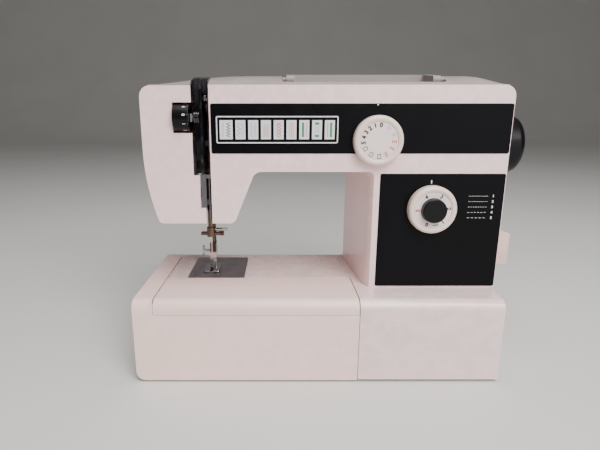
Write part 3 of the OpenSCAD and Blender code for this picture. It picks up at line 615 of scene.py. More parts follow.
def plastic(name, base, shade=0.9, roughness=0.3, uneven=0.04, grain=1600.0, bump=0.25, wear=0.35,
            worn=None, dust=0.15, coat=0.0, patches=22.0, shine=0.5):
    """A moulded, painted or rubber finish."""
    tree, shader = blank(name)
    surface = grouped(tree, "moulded_surface", Colour=rgba(base), Shade=rgba(base, shade),
                      Patches=patches, Grain=grain, Roughness=roughness, Uneven=uneven)
    worn_colour = rgba(worn) if worn else rgba(base, 1.12)
    edge = grouped(tree, "edge_wear", Colour=surface.outputs["Colour"], Worn=worn_colour, Amount=wear)
    dusty = grouped(tree, "dust", Colour=edge.outputs["Colour"], Amount=dust)
    tree.links.new(dusty.outputs["Colour"], shader.inputs["Base Color"])
    scuffed = maths(tree, "ADD", surface.outputs["Roughness"],
                    maths(tree, "MULTIPLY", edge.outputs["Mask"], 0.25))
    tree.links.new(maths(tree, "ADD", scuffed, maths(tree, "MULTIPLY", dusty.outputs["Mask"], 0.3)),
                   shader.inputs["Roughness"])
    shader.inputs["Specular IOR Level"].default_value = shine
    shader.inputs["Coat Weight"].default_value = coat
    shader.inputs["Coat Roughness"].default_value = 0.08
    bumped(tree, shader, surface.outputs["Height"], bump)
    return MATERIALS[name]


def metal(name, base, shade=0.75, roughness=0.18, lines=900.0, uneven=0.1, bump=0.15, above=None):
    """A bare or plated metal finish; above gives a height in base millimetres and the painted reflection
    colour over it.
    """
    tree, shader = blank(name)
    tone, dark, bright = rgba(base), rgba(base, shade), rgba(base, 1.25)
    # painted reflection: over the height the metal takes a darker colour that stands in for the room
    # reflected in it
    if above:
        place = add(tree, "ShaderNodeTexCoord").outputs["Object"]
        height = add(tree, "ShaderNodeSeparateXYZ", Vector=place).outputs["Z"]
        level, upper, fade = at(0, 0, above[0]).z, above[1], 1.5 * MM
        over = ramp(tree, height, level - fade, level + fade)
        tone = mix(tree, over, tone, rgba(upper))
        dark = mix(tree, over, dark, rgba(upper, shade))
        bright = mix(tree, over, bright, rgba(upper, 1.25))
    surface = grouped(tree, "worked_metal", Colour=tone, Shade=dark,
                      Roughness=roughness, Lines=lines, Uneven=uneven)
    edge = grouped(tree, "edge_wear", Colour=surface.outputs["Colour"], Worn=bright, Amount=0.3)
    dusty = grouped(tree, "dust", Colour=edge.outputs["Colour"], Amount=0.08)
    tree.links.new(dusty.outputs["Colour"], shader.inputs["Base Color"])
    tree.links.new(surface.outputs["Roughness"], shader.inputs["Roughness"])
    shader.inputs["Metallic"].default_value = 1.0
    bumped(tree, shader, surface.outputs["Height"], bump, 0.01 * MM)
    return MATERIALS[name]


def printing(name, base):
    """Printed ink: slightly uneven colour and thickness."""
    return plastic(name, base, shade=0.82, roughness=0.45, uneven=0.03, grain=2500.0, bump=0.15,
                   wear=0.0, dust=0.0, patches=160.0)


# ---- operators ----


class MACHINE_OT_finishes(bpy.types.Operator):
    """Builds every finish, and puts them on the frame's own pieces"""

    bl_idname = "machine.finishes"
    bl_label = "Finishes"

    # the frame's own pieces that are shown as they are
    frame_finishes = {
        "cast_aluminium": ["arm_frame", "crank_disc", "needle_gate", "feed_carrier", "con_rod"],
        "shaft_steel": ["main_shaft", "lower_shaft", "lower_gear", "motor_pulley", "upper_pulley",
                        "lower_pulley", "hook", "bobbin_case", "bobbin", "feed_dog", "presser_spring",
                        "inlet_pins"],
        "bush_bronze": ["shaft_bushes"],
        "belt_rubber": ["belts"],
        "cam_nylon": ["cam_stack"],
        "motor_paint": ["motor"],
        "dark_steel": ["tension_unit"],
        # the bars' brown steel is a painted reflection
        "lever_steel": ["presser_bar", "needle_bar"],
    }

    def execute(self, context):
        for name, build in (("moulded_surface", build_surface_group), ("edge_wear", build_wear_group),
                            ("dust", build_dust_group), ("worked_metal", build_metal_group)):
            GROUPS[name] = build()
        own = colours()
        plastic("casing_ivory", own.casing, shade=0.965, roughness=0.22, uneven=0.04, grain=2400.0,
                bump=0.1, wear=0.4, coat=0.5, patches=5.0)
        # painted shade: the top cover is the casing's ivory plastic, darkened to the grey it shows where it
        # turns away from the light
        plastic("crown_painted_shade", colour(150, 138, 138), shade=0.94, roughness=0.42, uneven=0.05,
                grain=2400.0, bump=0.12, wear=0.2, dust=0.15, patches=6.0, shine=0.15)
        plastic("bed_enamel", colour(243, 215, 212), shade=0.965, roughness=0.22, uneven=0.06,
                grain=1800.0, bump=0.2, wear=0.5, worn=colour(205, 196, 184), dust=0.15, coat=0.5,
                patches=5.0)
        plastic("table_cream", own.table, shade=0.965, roughness=0.36, uneven=0.05, grain=2200.0,
                bump=0.12, wear=0.4, dust=0.1, coat=0.1, patches=5.0)
        plastic("terminal_cream", own.terminal, roughness=0.4, grain=1500.0, bump=0.35, wear=0.3)
        plastic("plinth_grey", colour(206, 200, 190), roughness=0.42, grain=1300.0, bump=0.35)
        plastic("foot_rubber", colour(38, 36, 36), shade=0.7, roughness=0.75, grain=900.0, bump=0.6)
        plastic("panel_black", own.panel, shade=0.75, roughness=0.34, uneven=0.04, grain=2600.0,
                bump=0.06, wear=0.4, worn=colour(66, 64, 68), dust=0.02, patches=12.0, shine=0.1)
        plastic("black_gloss", colour(9, 8, 11), shade=0.7, roughness=0.3, uneven=0.06, grain=2600.0,
                bump=0.1, wear=0.45, worn=colour(60, 58, 62), dust=0.03, shine=0.2)
        plastic("channel_gloss", colour(8, 7, 10), shade=0.7, roughness=0.14, uneven=0.04, grain=2600.0,
                bump=0.05, wear=0.3, worn=colour(110, 106, 110), dust=0.0, coat=0.25, shine=0.25)
        plastic("knob_cream", own.dial, shade=0.94, roughness=0.28, uneven=0.05, grain=2400.0,
                bump=0.12, wear=0.3, coat=0.3, patches=40.0)
        plastic("dial_face", colour(236, 218, 215), shade=0.96, roughness=0.33, grain=2400.0, bump=0.1,
                wear=0.2, dust=0.0, patches=60.0)
        plastic("trim_ivory", colour(226, 214, 198), shade=0.92, roughness=0.33, wear=0.4, coat=0.2)
        plastic("window_white", colour(222, 222, 224), shade=0.96, roughness=0.25, wear=0.0, dust=0.0,
                coat=0.4)
        plastic("motor_paint", colour(52, 58, 60), shade=0.8, roughness=0.45, grain=700.0, bump=0.5)
        plastic("belt_rubber", colour(30, 29, 29), shade=0.7, roughness=0.7, grain=800.0, bump=0.5)
        plastic("cam_nylon", colour(232, 228, 214), shade=0.93, roughness=0.38)
        metal("chrome", colour(214, 212, 210), shade=0.8, roughness=0.1, uneven=0.1, lines=500.0)
        metal("plate_steel", colour(196, 186, 192), shade=0.8, roughness=0.34, uneven=0.14, lines=1400.0,
              bump=0.25)
        # painted reflection: steel tinted brown for the room reflected in the bars, lifter and clamp
        metal("lever_steel", colour(112, 92, 80), shade=0.7, roughness=0.28, uneven=0.16)
        metal("guard_steel", colour(120, 118, 124), shade=0.8, roughness=0.42)
        metal("dark_steel", colour(92, 88, 94), shade=0.7, roughness=0.22, uneven=0.12)
        # chrome foot with a painted reflection: dark brown over 110 mm in place of the room reflected in
        # the shank
        metal("foot_steel_painted_reflection", colour(214, 212, 210), shade=0.8, roughness=0.14, lines=500.0,
              above=(110, colour(88, 68, 58)))
        metal("shaft_steel", colour(176, 174, 172), shade=0.75, roughness=0.25)
        metal("cast_aluminium", colour(150, 150, 150), shade=0.8, roughness=0.5, lines=500.0, bump=0.5)
        metal("bush_bronze", colour(178, 132, 78), shade=0.75, roughness=0.35)
        printing("print_white", own.print_white)
        for ink, shade in (("black", (38, 34, 36)), ("red", (206, 74, 62)), ("pink", (214, 158, 160)),
                           ("blue", (116, 128, 186)), ("pale_blue", (168, 180, 208)),
                           ("orange", (226, 168, 140)), ("green", (58, 142, 92))):
            printing("print_" + ink, colour(*shade))
        self.build_glass()
        for finish, nodes in self.frame_finishes.items():
            for node in nodes:
                NODES[node].data.materials.clear()
                NODES[node].data.materials.append(MATERIALS[finish])
        return {"FINISHED"}

    def build_glass(self):
        """Frosted lamp glass with a slight unevenness."""
        tree, shader = blank("lamp_glass")
        surface = grouped(tree, "moulded_surface", Colour=rgba(colour(244, 238, 222)),
                          Shade=rgba(colour(226, 218, 198)), Roughness=0.22, Uneven=0.05)
        tree.links.new(surface.outputs["Colour"], shader.inputs["Base Color"])
        tree.links.new(surface.outputs["Roughness"], shader.inputs["Roughness"])
        shader.inputs["Transmission Weight"].default_value = 0.45
        bumped(tree, shader, surface.outputs["Height"], 0.2)


class MACHINE_OT_casings(bpy.types.Operator):
    """Ivory covers of the head, arm and column, with their outer edges rounded"""

    bl_idname = "machine.casings"
    bl_label = "Casings"

    def execute(self, context):
        low, high = box_mm("front_cover")
        front, back = low.y, box_mm("rear_cover")[1].y
        right, under = high.x, 217  # under is the height of the arm's lower side
        lower_corner, throat_corner = 101, 126.5  # the head's corners on the right lie between these
        panel_low, panel_high = box_mm("upper_panel")
        lower_low, lower_high = box_mm("lower_panel")
        slot_low, slot_high = box_mm("slot_liner")
        column, heel = lower_low.x, box_mm("face_cover")[0].z

        def on_seat(mid):
            """True on the rims of the two panels' seats."""
            upper = panel_low.x - 1 < mid.x and panel_low.z - 1 < mid.z < panel_high.z + 1
            lower = lower_low.x - 1 < mid.x and lower_low.z - 1 < mid.z < lower_high.z + 1
            return upper or lower

        def corner_share(mid, along):
            """The inner corners of the throat and the lower corner of the head."""
            outside = front + 3 < mid.y < back - 3
            if on(mid.z, under, 0.1) and outside and mid.x < column:
                return 1.0
            if abs(along.y) > 0.9 and outside and mid.x < throat_corner and mid.z < under:
                return 0.7 if mid.x > lower_corner else 0.0
            return 0.0

        def front_share(mid, along):
            """Full round the outline, and less on the seats, at the slot and at the right end."""
            if not on(mid.y, front):
                return 0.15 if mid.y > front + 50 and mid.z > under else 0.0
            if on_seat(mid):
                return 0.12 if mid.x < right - 0.8 else 0.0
            if mid.x > right - 0.05:
                return 0.2
            if mid.x < slot_high.x + 2.5 and abs(along.z) > 0.9:
                return 0.3
            return 1.0

        def face_share(mid, along):
            """Full round the outline, and less at the slot and the tension dial's notch."""
            if on(mid.y, front):
                at_slot = mid.x > slot_low.x - 1.2 or (abs(along.z) > 0.9 and mid.x > 40)
                notch = 43 <= round(mid.x) and 255 < mid.z < 287
                return 0.3 if at_slot or notch else 1.0
            return 0.0

        def heel_share(mid, along):
            """The lower left corner of the head."""
            return 0.7 if abs(along.y) > 0.9 and on(mid.z, heel, 0.1) and mid.x < 40 else 0.0

        def rear_share(mid, along):
            """Full round the back's outline."""
            return 1.0 if on(mid.y, back) else 0.0

        for node, share in (("front_cover", front_share), ("face_cover", face_share),
                            ("rear_cover", rear_share)):
            obj = copy_of(node, node + "_shell")
            soften(obj, 5 * MM, corner_share if node != "face_cover" else heel_share, segments=5)
            soften(obj, sizes().casing_edge, share, segments=4)
            body = "face_cover" if node == "face_cover" else "machine"
            finish_piece(smooth(obj), "casing_ivory", body, "casing_ivory", node)
        return {"FINISHED"}


class MACHINE_OT_top_cover(bpy.types.Operator):
    """Crowned top cover with its pockets for the handle and the bobbin winder"""

    bl_idname = "machine.top_cover"
    bl_label = "Top cover"

    def execute(self, context):
        low, high = box_mm("top_cover")
        rim, rise = low.z - 0.35, high.z - low.z
        inset = 2.0  # the crown starts where the rounding of the covers under it ends
        middle, half = (low.y + high.y) / 2, (high.y - low.y) / 2 - inset
        first, last = at(low.x, low.y + inset, rim), at(high.x, high.y - inset, rim)
        deselect()
        bpy.ops.mesh.primitive_grid_add(x_subdivisions=72, y_subdivisions=30, size=1,
                                        location=(first + last) / 2)
        obj = rename("top_cover_shell")
        obj.scale = (last.x - first.x, last.y - first.y, 1)
        settle(obj)
        pick(obj, lambda place: True)
        bpy.ops.mesh.extrude_region_move(TRANSFORM_OT_translate={"value": (0, 0, rise * MM)})
        bpy.ops.object.mode_set(mode="OBJECT")
        outward(obj)

        left_run, right_run = 95, 34  # how far in from each end the crown has its full height

        def crown(x, y):
            """Height of the crown over its rim, falling to all four sides."""
            left = min(1.0, (x - low.x) / left_run)
            right = min(1.0, (high.x - x) / right_run)
            across = abs(y - middle) / half
            along = (1 - (1 - left) ** 1.9) * (1 - (1 - right) ** 2.2)
            return 0.3 + (rise - 0.3) * along * max(0.0, 1 - across ** 2.4) ** 0.75

        for vertex in obj.data.vertices:
            spot = base_mm(vertex.co)
            if spot.z > rim + 1:
                vertex.co = at(spot.x, spot.y, low.z + crown(spot.x, spot.y))
        handle_low, handle_high = box_mm("carry_handle")
        winder_low, winder_high = box_mm("bobbin_winder")
        slot_low, slot_high = box_mm("slot_liner")
        pins_low, pins_high = box_mm("spool_pins")
        pin_r = 3.3
        cutters = [
            slab("cutter", (handle_low.x - 0.6, handle_low.y - 6.6, low.z + 2),
                 (handle_high.x + 0.6, handle_high.y + 5, high.z + 9), 3 * MM),
            slab("cutter", (winder_low.x - 3, winder_low.y - 5, low.z + 1.2),
                 (winder_high.x + 3, winder_high.y + 7, high.z + 9), 3 * MM),
            slab("cutter", (slot_low.x - 0.6, low.y - 5, rim - 5),
                 (slot_high.x + 0.2, slot_high.y - 0.6, high.z + 9)),
        ]
        pin_y = (pins_low.y + pins_high.y) / 2
        for x in (pins_low.x + 5, pins_high.x - 5):
            cutters.append(turned("cutter", [(0, 0), (pin_r, 0), (pin_r, 30), (0, 30)],
                                  at(x, pin_y, low.z + 3), (0, 0, 1), 40))
        cutter = join("cutters", cutters)
        modify(obj, "BOOLEAN", object=cutter, operation="DIFFERENCE", solver="EXACT", use_self=True)
        bpy.data.objects.remove(cutter)
        soften(obj, 0.7 * MM, lambda mid, along: 1.0 if mid.z > rim + 1.2 else 0.0, segments=2, above=42)
        smooth(obj, math.radians(40))
        # the crown's darker colour is painted shade
        finish_piece(obj, "crown_painted_shade", "machine", "casing_ivory", "top_cover")
        return {"FINISHED"}


class MACHINE_OT_base(bpy.types.Operator):
    """Bed casting, bottom plate, rubber feet and the mains terminal housing"""

    bl_idname = "machine.base"
    bl_label = "Base"

    def execute(self, context):
        low, high = box_mm("bed_casting")
        edge = 3.2 * MM
        bed = copy_of("bed_casting", "bed_shell")
        arm = copy_of("free_arm", "free_arm_shell")
        joint = box_mm("free_arm")[1].x
        overlap = 0.4 * MM  # the arm reaches into the base, so that the two join without a seam
        for vertex in arm.data.vertices:
            if abs(base_mm(vertex.co).x - joint) < 0.01:
                vertex.co.x += overlap
        modify(bed, "BOOLEAN", object=arm, operation="UNION", solver="EXACT")
        bpy.data.objects.remove(arm)
        low.x = box_mm("free_arm")[0].x

        def bed_share(mid, along):
            """Full round the right end, and slight along the seams and the underside."""
            on_end = on(mid.x, high.x)
            if on_end and (mid.y < 12 or mid.z > high.z - 12 or mid.y > high.y - 8):
                return 1.0
            if on(mid.z, high.z) and on(mid.y, high.y):
                return 0.8
            if on(mid.z, high.z) and mid.x < box_mm("table_body")[1].x + 2:
                return 0.12
            if on(mid.x, low.x):
                return 0.3
            return 0.12 if on(mid.z, low.z) or mid.y < 0.05 else 0.0

        soften(bed, edge, bed_share, segments=4)
        smooth(bed)
        finish_piece(bed, "bed_enamel", "machine", "bed_enamel", "bed_casting", "free_arm")
        moulded("bottom_plate", "bottom_plate_shell", 0.8 * MM, "plinth_grey", "machine",
                share=lambda mid, along: 1.0 if abs(along.z) < 0.9 else 0.0)
        moulded("rubber_feet", "feet", 0.9 * MM, "foot_rubber", "machine",
                share=lambda mid, along: 1.0 if mid.z < 0.1 else 0.0)
        reach = box_mm("terminal_housing")[1].x

        def housing_share(mid, along):
            """Every outer edge, but not those of the socket or against the column."""
            inside = mid.x < reach - 0.1 and 79 < mid.y < 122 and 109 < mid.z < 133
            return 0.0 if inside or mid.x < 386 else 1.0

        moulded("terminal_housing", "terminal_shell", 1.1 * MM, "terminal_cream", "machine",
                share=housing_share)
        moulded("light_switch", "switch_rocker", 0.5 * MM, "black_gloss", "light_switch")
        return {"FINISHED"}


class MACHINE_OT_table(bpy.types.Operator):
    """Slide-off table, its lid and the shutter in front of the hook"""

    bl_idname = "machine.table"
    bl_label = "Table"

    def execute(self, context):
        right = box_mm("table_body")[1].x

        def body_share(mid, along):
            """Full round the left end, and slight along the seams."""
            outer_front = mid.y < 0.05
            if outer_front and (mid.x < 12 or mid.z < 12):
                return 1.0
            if mid.x < 0.05:
                return 1.0
            if on(mid.x, 20, 0.1) or on(mid.x, right, 0.1):
                return 0.15
            return 0.15 if outer_front else 0.0

        moulded("table_body", "table_shell", 2.4 * MM, "table_cream", "table", share=body_share, segments=4)
        moulded("table_lid", "table_lid_shell", sizes().small_edge, "table_cream", "lid")
        moulded("shuttle_door", "shutter_shell", 0.4 * MM, "table_cream", "shutter")
        return {"FINISHED"}


class MACHINE_OT_panels(bpy.types.Operator):
    """Black panels and the black channel that leads the thread down the head"""

    bl_idname = "machine.panels"
    bl_label = "Panels"

    def execute(self, context):
        for node in ("upper_panel", "lower_panel"):
            face = box_mm(node)[0].y + 0.05
            moulded(node, node + "_plate", sizes().small_edge, "panel_black", "machine",
                    share=lambda mid, along: 1.0 if mid.y < face else 0.0)
        lip = 56  # the channel's edges in front of this depth are rounded
        moulded("slot_liner", "slot_channel", 0.7 * MM, "channel_gloss", "machine", "black_gloss",
                share=lambda mid, along: 1.0 if mid.y < lip else 0.0, segments=4)
        return {"FINISHED"}


class MACHINE_OT_controls(bpy.types.Operator):
    """Handwheel, dials, buttons, handle, spool pins and bobbin winder"""

    bl_idname = "machine.controls"
    bl_label = "Controls"

    def execute(self, context):
        for node, name, width, material, body, slot in (
                ("handwheel", "wheel", 1.0, "black_gloss", "drive", None),
                ("clutch_knob", "clutch", 0.5, "black_gloss", "clutch", None),
                ("reverse_button", "button", 1.2, "black_gloss", "reverse_button", None),
                ("tension_dial", "tension_wheel", 0.8, "black_gloss", "tension_dial", None),
                # the handle takes the crown's painted shade
                ("carry_handle", "handle", 1.0, "crown_painted_shade", "carry_handle", "trim_ivory"),
                ("spool_pins", "spools", 0.7, "trim_ivory", "spool_pins", None),
                ("bobbin_winder", "winder_arm", 0.5, "trim_ivory", "winder", None)):
            moulded(node, name, width * MM, material, body, slot)
        return {"FINISHED"}


class MACHINE_OT_stitch_window(bpy.types.Operator):
    """Window with nine stitch samples in a thin white outline"""

    bl_idname = "machine.stitch_window"
    bl_label = "Stitch window"

    def execute(self, context):
        low, high = box_mm("pattern_window")
        front, back = low.y, high.y
        backing = rounded_plate("window_backing", (low.x, front + 0.25, low.z), (high.x, back, high.z), 1.6)
        finish_piece(backing, "panel_black", "machine", "panel_black", "pattern_window")
        outline = rounded_plate("window_outline", (low.x + 0.1, front + 0.05, low.z + 0.1),
                                (high.x - 0.1, front + 0.3, high.z - 0.1), 1.6, rim=1.1)
        finish_piece(outline, "print_white", "machine", "window_white")
        first, gap, margin, extra = 3.6, 2.8, 4.1, 3.0  # the first card is wider by the extra
        width = (high.x - low.x - 2 * first - 8 * gap - extra) / 9
        bottom, top = low.z + margin, high.z - margin
        cards, inks = [], {}
        for i in range(9):
            left = low.x + first + i * (width + gap) + (extra if i else 0)
            right = left + width + (0 if i else extra)
            cards.append(slab(f"card_{i}", (left, front + 0.1, bottom), (right, front + 0.4, top),
                              0.08 * MM, 2))
            for ink, mark in self.sample(i, left, right, bottom + 2.2, top - 2.2, front + 0.1):
                inks.setdefault(ink, []).append(mark)
        finish_piece(join("stitch_cards", cards), "window_white", "machine", "window_white")
        for ink, marks in inks.items():
            print_group("samples_" + ink, marks, "print_" + ink, "machine")
        return {"FINISHED"}

    def sample(self, kind, left, right, bottom, top, face):
        """The printed stitches on one card, as pairs of ink and mark."""
        middle = (left + right) / 2
        swing = (right - left) * 0.14
        tall = top - bottom

        def zigzag(x, half, count):
            turns = [(middle + x * swing + half * swing * (-1) ** n, face, bottom + tall * n / count)
                     for n in range(count + 1)]
            return [list(pair) for pair in zip(turns, turns[1:])]

        def upright(x, low=0.0, high=1.0):
            return [(middle + x * swing, face, bottom + tall * end) for end in (low, high)]

        def bar(x0, x1, low=0.0, high=1.0):
            return slab("bar", (middle + x0 * swing, face - 0.08, bottom + tall * low),
                        (middle + x1 * swing, face + 0.1, bottom + tall * high))

        slants = [[(middle + x * swing, face, bottom + tall * n / 7),
                   (middle + (x + 1.7) * swing, face, bottom + tall * (n + 1.2) / 7)]
                  for n in range(6) for x in (-2.0, 0.2)]
        rungs = [[(middle + side * swing, face, bottom + tall * n / 9) for side in (-1, 1)]
                 for n in range(10)]
        samples = (
            (("black", zigzag(1.2, 1.1, 10), 0.34), ("pink", zigzag(-1.8, 0.5, 22), 0.2)),
            (("blue", zigzag(-1.2, 1.3, 7), 0.28), ("pale_blue", zigzag(1.5, 0.9, 9), 0.3)),
            (("blue", zigzag(-1.3, 0.9, 8) + zigzag(1.3, -0.9, 8), 0.22),),
            (("red", slants, 0.3),),
            (("red", zigzag(-0.85, 0.85, 9) + zigzag(0.85, -0.85, 9), 0.36),),
            (("orange", rungs + [upright(x) for x in (-1.6, 0, 1.6)], 0.36),),
            (("pink", [upright(1.6)], 0.5),),
            (("pale_blue", [upright(x, 0.3, 0.7) for x in (-0.9, 0.9)], 0.4),),
            (("pink", [upright(-1.6)], 0.5),),
        )
        bars = {6: ((-1.7, -0.1, 0, 1),), 7: ((-1.5, 1.5, 0, 0.16), (-1.5, 1.5, 0.84, 1)),
                8: ((0.1, 1.7, 0, 1),)}
        marks = [(ink, stroke("sample", lines, radius)) for ink, lines, radius in samples[kind]]
        return marks + [("green", bar(*place)) for place in bars.get(kind, ())]


class MACHINE_OT_dials(bpy.types.Operator):
    """Two cream dials with their printed faces, and the marks on the panels round them"""

    bl_idname = "machine.dials"
    bl_label = "Dials"

    # all in millimetres: height of a knob, how deep its face is sunk, thickness of the face's insert
    height, sink, insert = 10.0, 1.6, 0.25
    face_radius, print_radius = 19.0, 15.4
    # numeral and clockwise angle from the top
    pattern_numerals = (("0", 5), ("1", -17), ("2", -38), ("3", -57), ("4", -77), ("5", -97))
    length_numerals = (("4", -30), ("3", 28), ("2", 84), ("1", 139), ("0", 201))

    def execute(self, context):
        rise = sizes().print_rise / MM
        self.pattern_dial(rise)
        self.panel_marks(self.length_dial(rise), rise)
        return {"FINISHED"}

    def pattern_dial(self, rise):
        """The upper dial, with numerals, buttonholes and two kinds of coloured mark."""
        centre, ink = self.dial("pattern_dial", 0.0, 0.0, rise)
        ring = self.print_radius
        black = [figures("figures", self.around(centre, ring, ink, self.pattern_numerals), 4.2),
                 stroke("icons", [self.icon(centre, ring, angle, ink) for angle in (-120, -151, 177)], 0.5,
                        closed=True)]
        print_group("pattern_numerals", black, "print_black", "pattern_dial")
        red = [[round_dial(centre, ring + n, angle + side * width, ink) for side in (-1, 1)]
               for angle in (150, 119, 93) for n, width in ((-1.8, 6), (-0.2, 4), (1.6, 5))]
        print_group("pattern_red_marks", [stroke("marks", red, 0.55)], "print_red", "pattern_dial")
        blue = [[round_dial(centre, ring + 1.7 * (-1) ** n, angle + 2.8 * (n - 2), ink) for n in range(5)]
                for angle in (36, 67)]
        print_group("pattern_blue_marks", [stroke("marks", blue, 0.5)], "print_pale_blue", "pattern_dial")

    def length_dial(self, rise):
        """The lower dial, round the reverse button; returns its centre."""
        button_low, button_high = box_mm("reverse_button")
        bore = (button_high.x - button_low.x) / 2 + 0.3
        centre, ink = self.dial("length_dial", bore, bore + 0.1, rise)
        ring = (bore + self.face_radius) / 2
        for name, numerals, print_ink in (("length_numerals", self.length_numerals, "print_black"),
                                          ("length_red_numeral", (("5", -91),), "print_red")):
            marks = figures("figures", self.around(centre, ring, ink, numerals), 3.9)
            print_group(name, [marks], print_ink, "length_dial")
        zone = [round_dial(centre, ring + 0.3, angle, ink) for angle in range(157, 181, 3)]
        print_group("length_green_zone", [stroke("zone", [zone], 0.7)], "print_green", "length_dial")
        return centre

    def dial(self, node, bore, face_bore, rise):
        """Makes a knob and its face; returns its centre and the depth of its print."""
        low, high = box_mm(node)
        centre, sunk = (low + high) / 2, low.y + self.sink
        self.knob(node, centre, low.y, self.face_radius, bore)
        self.face(node, centre, sunk, self.face_radius - 0.4, face_bore)
        return centre, sunk - self.insert - rise / 2

    def around(self, centre, radius, ink, numerals):
        """Frames of numerals that stand round a dial with their tops outwards."""
        return [(text, facing_front(round_dial(centre, radius, angle, ink), angle))
                for text, angle in numerals]

    def knob(self, node, centre, front, face, bore):
        """A knob with a round rim about a sunk face."""
        low, high = box_mm(node)
        outer, height = (high.x - low.x) / 2, self.height
        across, down = 3.1, 4  # size of the rim's rounding
        profile = [(outer - 0.4, 0), (outer, 0.5), (outer, height - down)]
        profile += [(outer - across + across * math.cos(a), height - down + down * math.sin(a))
                    for a in (math.radians(11.25 * i) for i in range(1, 9))]
        profile += [(face + 1.4, height - 0.15), (face + 0.4, height - 0.7), (face, height - self.sink)]
        profile += [(bore, height - self.sink), (bore, 0)]
        if bore > 0:
            profile.append(profile[0])
        obj = turned(node + "_knob", profile, at(centre.x, front + height, centre.z), (0, -1, 0))
        finish_piece(obj, "knob_cream", node, "knob_cream", node)

    def face(self, node, centre, sunk, radius, bore):
        """The pale printed insert in a knob's sunk face."""
        top = self.insert
        profile = [(bore, 0), (radius, 0), (radius, top - 0.05), (radius - 0.15, top), (bore, top)]
        if bore > 0:
            profile.append(profile[0])
        obj = turned(node + "_insert", profile, at(centre.x, sunk, centre.z), (0, -1, 0))
        finish_piece(obj, "dial_face", node, "knob_cream")

    def icon(self, centre, radius, angle, ink):
        """Outline of a buttonhole: a small open box across the radius."""
        corners = [(-6, -2), (6, -2), (6, 2), (-6, 2)]
        return [round_dial(centre, radius + rise, angle + turn, ink) for turn, rise in corners]

    def panel_marks(self, length_centre, rise):
        """White marks and the stitch length chart on the black panels."""
        upper_low, upper_high = box_mm("upper_panel")
        lower_high = box_mm("lower_panel")[1]
        pattern_low, pattern_high = box_mm("pattern_dial")
        face = upper_low.y - rise / 2
        pattern_x = (pattern_low.x + pattern_high.x) / 2
        marks = [turned("mark", [(0, 0), (0.75, 0), (0.7, rise), (0, rise)],
                        at(pattern_x - 1, upper_low.y, upper_high.z - 1.1), (0, -1, 0), 24),
                 slab("mark", (length_centre.x - 1.6, face - rise / 2, lower_high.z - 10),
                      (length_centre.x - 0.6, face + rise, lower_high.z - 6.4))]
        left, right, numbers = lower_high.x - 36.4, lower_high.x - 15.8, lower_high.x - 11
        rows = [lower_high.z - 23.1 - 5.78 * row for row in range(5)]
        for height, dashes in zip(rows, (14, 11, 8, 6, 5)):
            pitch = (right - left) / dashes
            dash = slab("dash", (left, face - rise / 2, height - 0.17),
                        (left + 0.6 * pitch, face + rise, height + 0.17))
            marks.append(modify(dash, "ARRAY", count=dashes, use_relative_offset=False,
                                use_constant_offset=True, constant_offset_displace=(pitch * MM, 0, 0)))
        marks.append(figures("figures", [(str(row + 1), facing_front((numbers, face, height)))
                                         for row, height in enumerate(rows)], 2.5))
        print_group("panel_markings", marks, "print_white", "machine")


class MACHINE_OT_tension_print(bpy.types.Operator):
    """Numerals round the rim of the tension dial"""

    bl_idname = "machine.tension_print"
    bl_label = "Tension numerals"

    def execute(self, context):
        low, high = box_mm("tension_dial")
        centre = at((low.x + high.x) / 2, (low.y + high.y) / 2, (low.z + high.z) / 2)
        radius = (high.z - low.z) / 2 * MM + sizes().print_rise / 2
        from_rim = 4.6
        place = (high.x - from_rim - (low.x + high.x) / 2) * MM
        marks, bars = [], []
        for n in range(10):
            # the surface that faces the operator, rolled about the dial's axis; the figures stand sideways
            roll = Matrix.Translation(centre) @ Matrix.Rotation(math.radians(36 * n - 12), 4, "X")
            local = (Matrix.Translation((place, -radius, 0)) @ Matrix.Rotation(math.radians(90), 4, "X")
                     @ Matrix.Rotation(math.radians(90), 4, "Z"))
            marks.append((str(n), roll @ local))
            bars.append(("-", roll @ Matrix.Translation((3.2 * MM, 0, 0)) @ local))
        printed = [figures("figures", marks, 3.2, 0.01), figures("bars", bars, 1.8, 0.0)]
        print_group("tension_numerals", printed, "print_white", "tension_dial")
        return {"FINISHED"}


